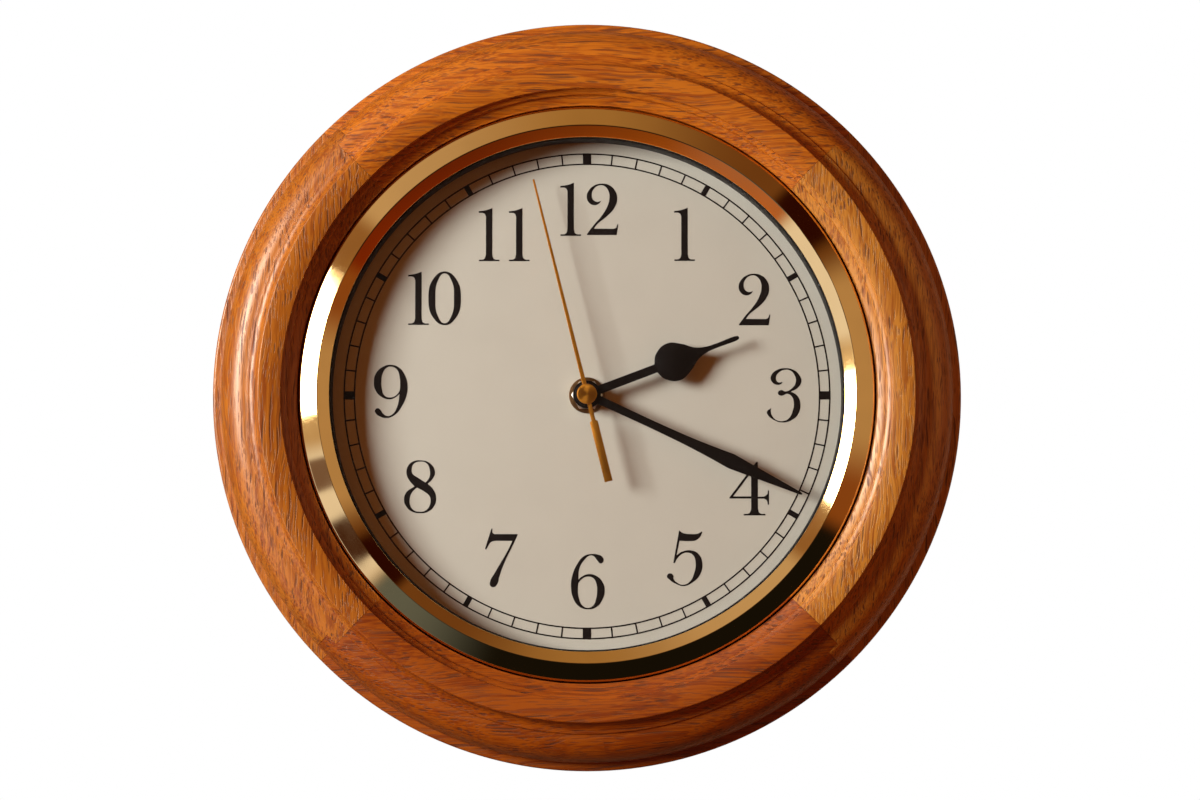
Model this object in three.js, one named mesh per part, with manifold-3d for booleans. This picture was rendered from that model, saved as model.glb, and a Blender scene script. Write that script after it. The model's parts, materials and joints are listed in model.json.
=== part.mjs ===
// A round oak wall clock with a brass bezel: a turned ring of four oak segments, a glazed dial with three
// hands, and the battery-driven stepping movement behind it. Millimetres, +Z up. The hand axis runs along Y,
// the dial faces -Y and the wall is the plane y = 0. A "depth" is a distance from the wall towards the front,
// so a point at depth d lies at y = -d. A "bearing" is a clock angle, in degrees clockwise from 12 o'clock.
import * as THREE from 'three';
import { mergeVertices } from 'three/addons/utils/BufferGeometryUtils.js';
import Module from 'manifold-3d';

const wasm = await Module();
wasm.setup();

// Fits
const SEAT_GAP = 0.1;          // between pieces that lie face to face
const RUN_GAP = 0.3;           // around and beside pieces that turn or slide
const PIVOT_PLAY = 0.15;       // between an arbor and the socket that it turns in
const PRESS_GAP = 0.12;        // between a pressed piece and its seat
const GLUE_LINE = 0.3;         // between the glued ends of two oak segments
const FRAME_FIT = 0.5;         // between the oak and what drops into its rebates
const OVERCUT = 1;             // how far a cutting shape runs past the face that it leaves by

// Facets around large, middling and small round pieces
const RING_STEPS = 48;
const TUBE_STEPS = 16;
const TUBE_CURVE = TUBE_STEPS / 2;  // an arc is drawn with two facets for each
const HOLE_STEPS = 6;

// Bezel, from the dial outwards
const VIEW_RADIUS = 104;       // opening of the bezel
const INNER_FACET = 4.6;       // width of the facet that falls towards the glass
const INNER_FACET_RISE = 2.6;
const OUTER_FACET = 7.6;       // width of the facet that falls towards the oak
const OUTER_FACET_FALL = 2.6;
const RIDGE_FLAT = 0.4;        // half width of the worn ridge between the facets
const FLANGE_WIDTH = 4.2;      // hidden flange behind the oak lip
const BEZEL_SHEET = 0.8;
const SHEET_LEAN = 1.5;        // depth through the leaning facets, in sheet thicknesses

// Oak ring: widths and rises of its mouldings, from the bezel outwards
const LIP_GAP = 0.7;           // shadow gap between the bezel and the oak
const LIP_WALL = 11.2;
const LIP_LAND = 0.5;
const LOW_ROUND = 3.5;         // lower of the two stepped rounds inside the face
const LOW_ROUND_RISE = 1.6;
const HIGH_ROUND = 2.2;
const HIGH_ROUND_RISE = 1.1;
const HIGH_ROUND_STEP = 1.6;
const FACE_STEP = 2.8;
const FACE_WIDTH = 8.8;
const FACE_DISH = 0.9;         // how far the flat face falls towards the bezel
const ARRIS = 0.4;             // eased outer edge of the flat face
const OUTER_COVE = 4.5;
const OUTER_COVE_DROP = 5.2;
const QUIRK = 0.3;             // width of the fine steps between mouldings
const QUIRK_DROP = 0.9;
const OVOLO = 12;
const OVOLO_DROP = 14.4;
const EDGE_LAND = 3.4;         // rim outside the ovolo
const EDGE_ROUND = 1.2;
const BACK_CHAMFER = 1;
const MOULDING_STEPS = 4;      // facets across one curved moulding

// Tongue-and-groove mitres between the segments
const SEGMENTS = 4;
const TONGUE_DROP = 8.1;       // below the flat face
const TONGUE_THICKNESS = 11;
const TONGUE_REACH = 5;
const MITRE_CUT = 1.5;         // reach of the mitre cuts, in clock radii

// Glazing, dial and backing
const GLASS_THICKNESS = 2;
const GLASS_MARGIN = 2.4;      // glass behind the bezel's inner edge
const HAND_ROOM = 12;          // spacer between dial and glass
const SPACER_INSET = 0.5;      // black wall that shows inside the bezel's edge
const SPACER_WALL = 2.6;
const SPACER_FOOT = 2;
const DIAL_THICKNESS = 0.6;
const BOARD_THICKNESS = 3.1;
const BOARD_LEDGE = 6;         // board beyond the dial, screwed to the oak shoulder

// Fasteners
const SCREW_RADIUS = 1.5;
const SCREW_HEAD_RADIUS = 3.1;
const SCREW_HEAD_HEIGHT = 1.6;
const BOARD_SCREW_BITE = 9;    // length in the oak
const HANGER_SCREW_BITE = 12;

// Keyhole hanger, let in flush behind 12 o'clock
const HANGER_WIDTH = 42;
const HANGER_HEIGHT = 18;
const HANGER_THICKNESS = 1.5;
const HANGER_SCREW_SPACING = 29;
const KEYHOLE_ENTRY_RADIUS = 4.5;
const KEYHOLE_SLOT_RADIUS = 2.3;
const KEYHOLE_TRAVEL = 6.2;    // from the entry hole up to the end of the slot
const KEYHOLE_DROP = 3.2;      // entry hole below the middle of the plate
const NAIL_POCKET_DEPTH = 9;
const NAIL_POCKET_MARGIN = 1;  // beside the entry hole

// Movement: levels of the train, counted from the front
const WALL_CLEARANCE = 1;
const COVER_THICKNESS = 1.4;
const SHELL_WALL = 1.4;
const REAR_ROOM = 2.8;
const WHEEL_THICKNESS = 0.9;
const LEVEL_PITCH = 1.9;
const FIRST_WHEEL_GAP = 0.4;
const LEVEL = { hour: 0, motion: 1, minute: 2, third: 3, seconds: 4, step: 5 };
const SHELL_CORNER = 4;
const ROOM_GAP = 0.5;          // between the shell's walls and what turns in it
const ARBOR_RADIUS = 0.5;
const BOSS_WALL = 0.7;         // round an arbor
const SOCKET_DEPTH = 1.3;
const PIVOT_REACH = 1;

// Train: leaves, teeth and tooth modules
const LEAVES = 6;              // every going pinion
const STEP_TEETH = 30;
const SECONDS_TEETH = 36;
const THIRD_TEETH = 45;
const MINUTE_TEETH = 48;
const CANNON_LEAVES = 8;
const MOTION_TEETH = 24;
const HOUR_TEETH = 24;
const ROTOR_MODULE = 0.42;
const SECONDS_MODULE = 0.54;
const MOTION_MODULE = 0.6;
const THIRD_DIRECTION = 180;   // degrees anticlockwise from 3 o'clock, seen from the front
const STEP_DIRECTION = 55;
const ROTOR_DIRECTION = 115;
const MOTION_DIRECTION = 0;

// Motor
const MAGNET_RADIUS = 3;
const MAGNET_LENGTH = 3.4;
const MAGNET_RISE = 0.9;       // clear of the rotor's pinion
const STATOR_THICKNESS = 1;
const STATOR_NECK = 1.4;
const STATOR_LENGTH = 32;
const STATOR_ARM = 4;
const AIR_GAP = 0.5;
const COIL_RADIUS = 3.2;
const COIL_LENGTH = 20;
const BOBBIN_FLANGE = 0.8;
const BOBBIN_BORE = 1.8;
const BOBBIN_WALL = 0.4;
const CORE_WIDTH = 3;
const BOARD_WIDTH = 9;         // circuit board
const BOARD_HEIGHT = 26;
const CIRCUIT_THICKNESS = 1;
const CRYSTAL_RADIUS = 1;
const CRYSTAL_LENGTH = 6.2;
const CHIP_RADIUS = 2.4;
const CHIP_HEIGHT = 1;

// Battery
const BATTERY_RADIUS = 7.25;
const BATTERY_LENGTH = 50.5;
const BATTERY_NUB = 1.2;
const BATTERY_NUB_RADIUS = 2.75;
const BATTERY_EDGE = 0.6;
const BAY_FLOOR = 0.9;
const CONTACT_THICKNESS = 0.5;
const CONTACT_SIZE = 9;

// Hand stack
const POST_RADIUS = 3.95;
const POST_WALL = 1.2;
const POST_STAND = 2.7;        // threaded end in front of the nut
const HOUR_TUBE_WALL = 0.7;
const MINUTE_TUBE_WALL = 0.85;
const RUBBER_THICKNESS = 0.6;
const RUBBER_RADIUS = 9;
const WASHER_RADIUS = 7.35;
const WASHER_THICKNESS = 0.6;
const NUT_SIDES = 6;
const NUT_FLATS = 11;
const NUT_THICKNESS = 2.2;
const HAND_THICKNESS = 0.5;
const HAND_PITCH = 1.5;        // from one hand to the next
const TUBE_STAND = 0.2;        // tube end above its hand
const HOUR_BOSS = 5.65;
const MINUTE_BOSS = 4.7;
const SECOND_BOSS = 3.4;
const CAP_RADIUS = 4.1;
const CAP_THICKNESS = 0.8;
const CAP_STEM = 1.2;
const CAP_EDGE = 0.3;

// Hands: outlines along their length
const HOUR_LENGTH = 66;
const HOUR_SHAFT = 1.75;       // half widths
const HOUR_SPADE_RADIUS = 7.95;
const HOUR_SPADE_REACH = 37.6;
const HOUR_NECK_REACH = 54;
const HOUR_TIP = 0.85;
const MINUTE_LENGTH = 96;
const MINUTE_SHAFT = 1.7;
const MINUTE_SHAFT_REACH = 38;
const MINUTE_LANCE = 3.1;
const MINUTE_LANCE_REACH = 64.5;
const MINUTE_TIP = 0.5;
const SECOND_LENGTH = 90;
const SECOND_ROOT = 0.9;
const SECOND_TIP = 0.5;
const SECOND_TAIL = 36.5;
const SECOND_NECK_REACH = 11;
const SECOND_NECK = 0.8;
const SECOND_WEIGHT = 1.65;

// The time that the hands show, as bearings
const HOUR_BEARING = 69.7;
const MINUTE_BEARING = 115.1;
const SECOND_BEARING = 345.7;

// Setting knob behind the movement
const KNOB_RADIUS = 5.6;
const KNOB_THICKNESS = 2;
const KNOB_RECESS = 0.3;       // below the cover's rear face
const KNOB_SHAFT = 1;
const WELL_WALL = 1;

// Depths, from the wall forwards
const movementRear = WALL_CLEARANCE;
const shellRear = movementRear + COVER_THICKNESS;
const levelBase = shellRear + REAR_ROOM;
const levelCount = Object.keys(LEVEL).length;
const shellInner = levelBase + (levelCount - 1) * LEVEL_PITCH + WHEEL_THICKNESS + FIRST_WHEEL_GAP;
const movementFront = shellInner + SHELL_WALL;
const boardBack = movementFront + RUBBER_THICKNESS + 2 * SEAT_GAP;
const boardFront = boardBack + BOARD_THICKNESS;
const dialBack = boardFront + SEAT_GAP;
const dialFront = dialBack + DIAL_THICKNESS;
const spacerBack = dialFront + SEAT_GAP;
const footFront = spacerBack + SPACER_FOOT;
const flangeBack = footFront + SEAT_GAP;
const flangeFront = flangeBack + BEZEL_SHEET;
const lipBack = flangeFront + SEAT_GAP;
const spacerFront = spacerBack + HAND_ROOM;
const glassBack = spacerFront + SEAT_GAP;
const glassFront = glassBack + GLASS_THICKNESS;
const bezelInnerBack = glassFront + SEAT_GAP;
const bezelInnerFront = bezelInnerBack + BEZEL_SHEET;
const ridgeDepth = bezelInnerFront + INNER_FACET_RISE;
const bezelOuterDepth = ridgeDepth - OUTER_FACET_FALL;
const lipFront = lipBack + LIP_WALL;
const lowRoundTop = lipFront + LOW_ROUND_RISE;
const highRoundBase = lowRoundTop + HIGH_ROUND_STEP;
const highRoundTop = highRoundBase + HIGH_ROUND_RISE;
const faceInnerDepth = highRoundTop + FACE_STEP;
const faceDepth = faceInnerDepth + FACE_DISH;
const outerCoveBase = faceDepth - ARRIS - OUTER_COVE_DROP;
const ovoloTop = outerCoveBase - QUIRK_DROP;
const ovoloBase = ovoloTop - OVOLO_DROP;
const edgeDepth = ovoloBase - QUIRK_DROP;
const washerBack = dialFront + SEAT_GAP;
const nutBack = washerBack + WASHER_THICKNESS + SEAT_GAP;
const postFront = nutBack + NUT_THICKNESS + POST_STAND;
const hourHandBack = postFront + RUN_GAP;
const minuteHandBack = hourHandBack + HAND_PITCH;
const secondHandBack = minuteHandBack + HAND_PITCH;
const capBack = secondHandBack + HAND_THICKNESS + SEAT_GAP;

// Radii, from the hand axis outwards
const ridgeRadius = VIEW_RADIUS + INNER_FACET;
const bezelRadius = ridgeRadius + OUTER_FACET;
const flangeRadius = bezelRadius + FLANGE_WIDTH;
const glassRadius = VIEW_RADIUS + GLASS_MARGIN;
const lipRadius = bezelRadius + LIP_GAP;
const flangeRebate = flangeRadius + FRAME_FIT;
const boardRadius = flangeRadius + BOARD_LEDGE;
const boardRebate = boardRadius + FRAME_FIT;
const lowRoundStart = lipRadius + LIP_LAND;
const lowRoundEnd = lowRoundStart + LOW_ROUND;
const highRoundEnd = lowRoundEnd + HIGH_ROUND;
const faceEnd = highRoundEnd + FACE_WIDTH;
const outerCoveStart = faceEnd + ARRIS;
const outerCoveEnd = outerCoveStart + OUTER_COVE;
const ovoloStart = outerCoveEnd + QUIRK;
const ovoloEnd = ovoloStart + OVOLO;
const clockRadius = ovoloEnd + EDGE_LAND;
const boardScrewRadius = (flangeRebate + boardRadius) / 2;
const hangerRadius = (boardRebate + clockRadius - BACK_CHAMFER) / 2;
const slotTop = KEYHOLE_TRAVEL - KEYHOLE_DROP + KEYHOLE_SLOT_RADIUS;
const hangPoint = hangerRadius + (slotTop + HANGER_HEIGHT / 2) / 2;  // above the hand axis
const minuteBore = ARBOR_RADIUS + PIVOT_PLAY + PRESS_GAP;
const minuteTube = minuteBore + MINUTE_TUBE_WALL;
const hourBore = minuteTube + PIVOT_PLAY;
const hourTube = hourBore + HOUR_TUBE_WALL;
const postBore = POST_RADIUS - POST_WALL;
const postHole = POST_RADIUS + PIVOT_PLAY;

// Tooth height above the pitch circle, as a share of the module
const ADDENDUM = 0.9;
const DEDENDUM = 1.2;
const TOOTH_TIP = 0.11;        // half angles of a tooth, as shares of its pitch
const TOOTH_ROOT = 0.27;

function tipRadius(teeth, module) {
  return module * (teeth / 2 + ADDENDUM);
}

function direction(degrees, distance) {
  const angle = THREE.MathUtils.degToRad(degrees);
  return new THREE.Vector2(distance * Math.cos(angle), distance * Math.sin(angle));
}

function bearing(degrees, distance) {
  return direction(90 - degrees, distance);
}

// Arbors of the train, seen from the front: x to the right, y up
const stepDistance = SECONDS_MODULE * (SECONDS_TEETH + LEAVES) / 2;
const thirdDistance = tipRadius(SECONDS_TEETH, SECONDS_MODULE) + ARBOR_RADIUS + RUN_GAP;
const minuteModule = 2 * thirdDistance / (MINUTE_TEETH + LEAVES);
const thirdModule = 2 * thirdDistance / (THIRD_TEETH + LEAVES);
const motionDistance = MOTION_MODULE * (CANNON_LEAVES + MOTION_TEETH) / 2;
const hourModule = 2 * motionDistance / (HOUR_TEETH + LEAVES);
const rotorDistance = ROTOR_MODULE * (STEP_TEETH + LEAVES) / 2;
const centre = new THREE.Vector2(0, 0);
const thirdArbor = direction(THIRD_DIRECTION, thirdDistance);
const stepArbor = direction(STEP_DIRECTION, stepDistance);
const rotorArbor = stepArbor.clone().add(direction(ROTOR_DIRECTION, rotorDistance));
const motionArbor = direction(MOTION_DIRECTION, motionDistance);
const knobArbor = motionArbor.clone().add(direction(MOTION_DIRECTION, motionDistance));

// Rooms inside the movement
const frontBossEnd = levelBack(LEVEL.minute) + WHEEL_THICKNESS + RUN_GAP;
const knobBossEnd = levelBack(LEVEL.motion) + WHEEL_THICKNESS + RUN_GAP;
const rearBossEnd = levelBase - RUN_GAP;
const trainReach = Math.max(tipRadius(THIRD_TEETH, thirdModule), tipRadius(MINUTE_TEETH, minuteModule));
const partitionTop = -(trainReach + ROOM_GAP);
const bayTop = partitionTop - SHELL_WALL;
const bayBottom = bayTop - 2 * (BATTERY_RADIUS + RUN_GAP);
const bayHalf = BATTERY_LENGTH / 2 + CONTACT_THICKNESS + 2 * SEAT_GAP;
const thirdReach = thirdDistance + tipRadius(THIRD_TEETH, thirdModule);
const wellRadius = KNOB_RADIUS + RUN_GAP;
const knobReach = knobArbor.x + Math.max(tipRadius(CANNON_LEAVES, MOTION_MODULE), wellRadius + WELL_WALL);
const statorHalf = MAGNET_RADIUS + AIR_GAP + STATOR_NECK;
const coilHeight = rotorArbor.y + statorHalf + RUN_GAP + COIL_RADIUS;
const statorReach = rotorArbor.x + STATOR_LENGTH / 2;
const roomHalf = Math.max(bayHalf, thirdReach + ROOM_GAP, knobReach + ROOM_GAP, statorReach + ROOM_GAP);
const roomTop = coilHeight + COIL_RADIUS + ROOM_GAP;
const shellHalf = roomHalf + SHELL_WALL;
const shellTop = roomTop + SHELL_WALL;
const shellBottom = bayBottom - SHELL_WALL;
const bayFront = movementFront - BAY_FLOOR;
const batteryDepth = bayFront - RUN_GAP - BATTERY_RADIUS;
const batteryHeight = (bayTop + bayBottom) / 2;
const magnetBack = levelBack(LEVEL.step) + WHEEL_THICKNESS + MAGNET_RISE;
const statorBack = magnetBack + (MAGNET_LENGTH - STATOR_THICKNESS) / 2;
const coreBack = statorBack + STATOR_THICKNESS + SEAT_GAP;
const coilDepth = coreBack + STATOR_THICKNESS / 2;
const knobBack = movementRear + KNOB_RECESS;
const wellFloor = knobBack + KNOB_THICKNESS + RUN_GAP;

function levelBack(level) {
  return levelBase + (levelCount - 1 - level) * LEVEL_PITCH;
}

// Phase of a gear's first tooth that meshes with a driver of known phase, both in radians
function meshPhase(driverPhase, driverTeeth, toward, teeth) {
  const line = toward.angle();
  return line + Math.PI - Math.PI / teeth - (driverPhase - line) * driverTeeth / teeth;
}

const minutePhase = 0;
const thirdPinionPhase = meshPhase(minutePhase, MINUTE_TEETH, thirdArbor, LEAVES);
const secondsPinionPhase = 0;
const thirdPhase = meshPhase(secondsPinionPhase, LEAVES, thirdArbor, THIRD_TEETH);
const secondsPhase = 0;
const stepPinionPhase = meshPhase(secondsPhase, SECONDS_TEETH, stepArbor, LEAVES);
const stepPhase = 0;
const rotorPhase = meshPhase(stepPhase, STEP_TEETH, rotorArbor.clone().sub(stepArbor), LEAVES);
const cannonPhase = 0;
const motionPhase = meshPhase(cannonPhase, CANNON_LEAVES, motionArbor, MOTION_TEETH);
const hourPhase = 0;
const motionPinionPhase = meshPhase(hourPhase, HOUR_TEETH, motionArbor, LEAVES);
const knobPhase = meshPhase(motionPhase, MOTION_TEETH, motionArbor, CANNON_LEAVES);

// Finishes
function finish(color, roughness, metalness) {
  return new THREE.MeshStandardMaterial({ color, roughness, metalness });
}

const OAK = finish(0xb4682c, 0.35, 0);
const BRASS = finish(0xc79a45, 0.18, 1);
const STEEL = finish(0xb9bcc0, 0.35, 1);
const GLASS = finish(0xf4f8f8, 0.03, 0);
const BLACK_PLASTIC = finish(0x17171a, 0.5, 0);
const WHITE_PLASTIC = finish(0xe6e4dc, 0.5, 0);
const DIAL_PAPER = finish(0xefe6cf, 0.7, 0);
const HARDBOARD = finish(0x6d4a2e, 0.85, 0);
const HAND_BLACK = finish(0x101010, 0.4, 0.2);
const RUBBER = finish(0x1c1c1c, 0.9, 0);
const COPPER = finish(0xb5622f, 0.3, 1);
const CIRCUIT_GREEN = finish(0x2e5b39, 0.6, 0);
const BATTERY_WRAP = finish(0x3b4148, 0.4, 0.3);

// Solids for cutting and joining
function solid(geometry) {
  const bare = geometry.clone();
  bare.deleteAttribute('normal');
  bare.deleteAttribute('uv');
  const merged = mergeVertices(bare, 1e-4);
  const corners = merged.index.array;
  const kept = [];
  for (let i = 0; i < corners.length; i += 3) {
    const [a, b, c] = corners.slice(i, i + 3);
    if (a !== b && b !== c && c !== a) kept.push(a, b, c);
  }
  return new wasm.Manifold(new wasm.Mesh({
    numProp: 3,
    vertProperties: new Float32Array(merged.attributes.position.array),
    triVerts: new Uint32Array(kept),
  }));
}

function geometryOf(body) {
  const { vertProperties, triVerts } = body.getMesh();
  const geometry = new THREE.BufferGeometry();
  geometry.setAttribute('position', new THREE.BufferAttribute(vertProperties, 3));
  geometry.setIndex(new THREE.BufferAttribute(triVerts, 1));
  return geometry;
}

function joined(...geometries) {
  return geometryOf(geometries.map(solid).reduce((whole, next) => whole.add(next)));
}

function cut(geometry, ...tools) {
  return geometryOf(tools.map(solid).reduce((whole, next) => whole.subtract(next), solid(geometry)));
}

// A closed outline of [radius, depth] pairs, turned about the hand axis
function turned(outline, steps = RING_STEPS) {
  const points = outline.map(([radius, depth]) => new THREE.Vector2(radius, -depth));
  if (THREE.ShapeUtils.area(points) < 0) points.reverse();
  if (points.every((point) => point.x > 0)) points.push(points[0].clone());
  return new THREE.LatheGeometry(points, steps);
}

// A shape drawn as seen from the front, given thickness between two depths
function plate(shape, back, front, curveSegments = HOLE_STEPS) {
  const options = { depth: front - back, bevelEnabled: false, curveSegments };
  return new THREE.ExtrudeGeometry(shape, options).rotateX(Math.PI / 2).translate(0, -back, 0);
}

function polygon(points) {
  return new THREE.Shape(points.map(([x, y]) => new THREE.Vector2(x, y)));
}

function circle(at, radius) {
  return new THREE.Shape().absarc(at.x, at.y, radius, 0, 2 * Math.PI);
}

function ring(at, inner, outer) {
  const shape = circle(at, outer);
  shape.holes.push(circle(at, inner));
  return shape;
}

function rectangle(left, bottom, right, top) {
  return polygon([[left, bottom], [right, bottom], [right, top], [left, top]]);
}

function roundedRectangle(left, bottom, right, top, radius) {
  return new THREE.Shape()
    .absarc(right - radius, bottom + radius, radius, -Math.PI / 2, 0)
    .absarc(right - radius, top - radius, radius, 0, Math.PI / 2)
    .absarc(left + radius, top - radius, radius, Math.PI / 2, Math.PI)
    .absarc(left + radius, bottom + radius, radius, Math.PI, 1.5 * Math.PI);
}

function toothed(at, teeth, module, phase) {
  const pitch = 2 * Math.PI / teeth;
  const root = module * (teeth / 2 - DEDENDUM);
  const tip = tipRadius(teeth, module);
  const points = [];
  for (let tooth = 0; tooth < teeth; tooth += 1) {
    const middle = phase + tooth * pitch;
    const corners = [[root, -TOOTH_ROOT], [tip, -TOOTH_TIP], [tip, TOOTH_TIP], [root, TOOTH_ROOT]];
    for (const [radius, share] of corners) {
      const angle = middle + share * pitch;
      points.push([at.x + radius * Math.cos(angle), at.y + radius * Math.sin(angle)]);
    }
  }
  return polygon(points);
}

function gear(at, teeth, module, phase, level) {
  return plate(toothed(at, teeth, module, phase), levelBack(level), levelBack(level) + WHEEL_THICKNESS);
}

function pillar(at, radius, back, front) {
  return plate(circle(at, radius), back, front);
}

const clock = new THREE.Group();

function add(name, geometry, material) {
  const mesh = new THREE.Mesh(geometry, material);
  mesh.name = name;
  clock.add(mesh);
  return mesh;
}

// Quarter of an ellipse that leaves one end along the radius and reaches the other along the depth
function quarter([flatRadius, flatDepth], [steepRadius, steepDepth]) {
  const points = [];
  for (let step = 0; step <= MOULDING_STEPS; step += 1) {
    const angle = step / MOULDING_STEPS * Math.PI / 2;
    points.push([
      flatRadius + (steepRadius - flatRadius) * Math.sin(angle),
      steepDepth + (flatDepth - steepDepth) * Math.cos(angle),
    ]);
  }
  return points;
}

function frameOutline() {
  const ovolo = quarter([ovoloStart, ovoloTop], [ovoloEnd, ovoloBase]).reverse();
  const outerCove = quarter([outerCoveEnd, outerCoveBase], [outerCoveStart, faceDepth - ARRIS]);
  const highRound = quarter([highRoundEnd, highRoundTop], [lowRoundEnd, highRoundBase]);
  const lowRound = quarter([lowRoundEnd, lowRoundTop], [lowRoundStart, lipFront]);
  return [
    [boardRebate, 0],
    [clockRadius - BACK_CHAMFER, 0],
    [clockRadius, BACK_CHAMFER],
    [clockRadius, edgeDepth - EDGE_ROUND],
    [clockRadius - EDGE_ROUND, edgeDepth],
    [ovoloEnd, edgeDepth],
    ...ovolo,
    ...outerCove,
    [faceEnd, faceDepth],
    [highRoundEnd, faceInnerDepth],
    ...highRound,
    ...lowRound,
    [lipRadius, lipFront],
    [lipRadius, lipBack],
    [flangeRebate, lipBack],
    [flangeRebate, boardFront + SEAT_GAP],
    [boardRebate, boardFront + SEAT_GAP],
  ];
}

// A radial strip beside the mitre line at a bearing, between two distances clockwise of that line
function mitreStrip(degrees, from, to) {
  const inner = bearing(degrees, flangeRebate / 2);
  const outer = bearing(degrees, MITRE_CUT * clockRadius);
  const across = bearing(degrees + 90, 1);
  const corners = [[inner, from], [outer, from], [outer, to], [inner, to]];
  return polygon(corners.map(([point, shift]) => [point.x + shift * across.x, point.y + shift * across.y]));
}

// One segment of the oak ring, centred on 12 o'clock, with a tongue clockwise and a groove anticlockwise
function segmentBlank() {
  const half = 180 / SEGMENTS;
  const front = faceDepth + FRAME_FIT;
  const tongueFront = faceDepth - TONGUE_DROP;
  const tongueBack = tongueFront - TONGUE_THICKNESS;
  const slack = GLUE_LINE / 2;
  const far = MITRE_CUT * clockRadius / Math.cos(Math.PI / SEGMENTS);
  const wedge = polygon([
    [0, 0],
    ...[-half, 0, half].map((degrees) => bearing(degrees, far).toArray()),
  ]);
  const ends = [mitreStrip(-half, -TONGUE_REACH, slack), mitreStrip(half, -slack, TONGUE_REACH)];
  const tongue = mitreStrip(half, -TONGUE_REACH, TONGUE_REACH - slack);
  const groove = mitreStrip(-half, -TONGUE_REACH, TONGUE_REACH + slack);
  const endCuts = ends.map((end) => plate(end, -2 * OVERCUT, front + OVERCUT));
  const mitred = cut(plate(wedge, -OVERCUT, front), ...endCuts);
  const tongued = joined(mitred, plate(tongue, tongueBack + slack, tongueFront - slack));
  const grooved = cut(tongued, plate(groove, tongueBack - slack, tongueFront + slack));
  return geometryOf(solid(turned(frameOutline())).intersect(solid(grooved)));
}

function pilotHole(at, from, length) {
  return pillar(at, SCREW_RADIUS + RUN_GAP, from, from + length + RUN_GAP);
}

function hangerShape(slack) {
  const reach = HANGER_HEIGHT / 2 + slack;
  const side = HANGER_WIDTH / 2 - HANGER_HEIGHT / 2;
  return new THREE.Shape()
    .absarc(side, hangerRadius, reach, -Math.PI / 2, Math.PI / 2)
    .absarc(-side, hangerRadius, reach, Math.PI / 2, 1.5 * Math.PI);
}

function keyholeShape() {
  const entry = new THREE.Vector2(0, hangerRadius - KEYHOLE_DROP);
  const end = new THREE.Vector2(0, entry.y + KEYHOLE_TRAVEL);
  const lean = Math.asin(KEYHOLE_SLOT_RADIUS / KEYHOLE_ENTRY_RADIUS);
  return new THREE.Shape()
    .absarc(entry.x, entry.y, KEYHOLE_ENTRY_RADIUS, Math.PI / 2 + lean, 2.5 * Math.PI - lean)
    .absarc(end.x, end.y, KEYHOLE_SLOT_RADIUS, 0, Math.PI);
}

function nailPocket() {
  const side = KEYHOLE_ENTRY_RADIUS + NAIL_POCKET_MARGIN;
  const bottom = hangerRadius - KEYHOLE_DROP - side;
  const top = hangerRadius + slotTop + RUN_GAP;
  return plate(rectangle(-side, bottom, side, top), -OVERCUT, NAIL_POCKET_DEPTH);
}

function hangerScrewSeats() {
  return [-1, 1].map((side) => new THREE.Vector2(side * HANGER_SCREW_SPACING / 2, hangerRadius));
}

function makeFrame() {
  const seat = new THREE.Vector2(0, boardScrewRadius);
  const blank = cut(segmentBlank(), pilotHole(seat, boardFront, BOARD_SCREW_BITE));
  const letIn = plate(hangerShape(RUN_GAP), -OVERCUT, HANGER_THICKNESS + SEAT_GAP);
  const pilots = hangerScrewSeats().map((at) => pilotHole(at, 0, HANGER_THICKNESS + HANGER_SCREW_BITE));
  const names = ['frame_segment_top', 'frame_segment_right', 'frame_segment_bottom', 'frame_segment_left'];
  names.forEach((name, index) => {
    const geometry = index === 0 ? cut(blank, letIn, nailPocket(), ...pilots) : blank;
    add(name, geometry, OAK).rotation.y = index * 2 * Math.PI / SEGMENTS;
  });
}

function makeBezel() {
  const sheet = BEZEL_SHEET;
  const innerSlope = INNER_FACET_RISE / INNER_FACET;
  const outerSlope = OUTER_FACET_FALL / OUTER_FACET;
  const ridgeDrop = SHEET_LEAN * sheet;
  const rimInner = bezelRadius - sheet;
  const rimBack = bezelOuterDepth - ridgeDrop + outerSlope * sheet;
  const hemRadius = VIEW_RADIUS + (ridgeDrop - sheet) / innerSlope;
  add('bezel_ring', turned([
    [flangeRadius, flangeBack],
    [flangeRadius, flangeFront],
    [bezelRadius, flangeFront],
    [bezelRadius, bezelOuterDepth],
    [ridgeRadius + RIDGE_FLAT, ridgeDepth - RIDGE_FLAT * outerSlope],
    [ridgeRadius, ridgeDepth],
    [ridgeRadius - RIDGE_FLAT, ridgeDepth - RIDGE_FLAT * innerSlope],
    [VIEW_RADIUS, bezelInnerFront],
    [VIEW_RADIUS, bezelInnerBack],
    [hemRadius, bezelInnerBack],
    [ridgeRadius, ridgeDepth - ridgeDrop],
    [rimInner, rimBack],
    [rimInner, flangeBack],
  ]), BRASS);
}

function makeGlazing() {
  add('glass_lens', turned([
    [0, glassBack],
    [glassRadius, glassBack],
    [glassRadius, glassFront],
    [0, glassFront],
  ]), GLASS);
  const inner = VIEW_RADIUS - SPACER_INSET;
  add('spacer_ring', turned([
    [inner, spacerBack],
    [inner, spacerFront],
    [inner + SPACER_WALL, spacerFront],
    [inner + SPACER_WALL, footFront],
    [flangeRadius, footFront],
    [flangeRadius, spacerBack],
  ]), BLACK_PLASTIC);
}

function disc(radius, back, front) {
  return turned([[postHole, back], [radius, back], [radius, front], [postHole, front]]);
}

function boardScrewSeats() {
  return Array.from({ length: SEGMENTS }, (_, index) => bearing(index * 360 / SEGMENTS, boardScrewRadius));
}

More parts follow.
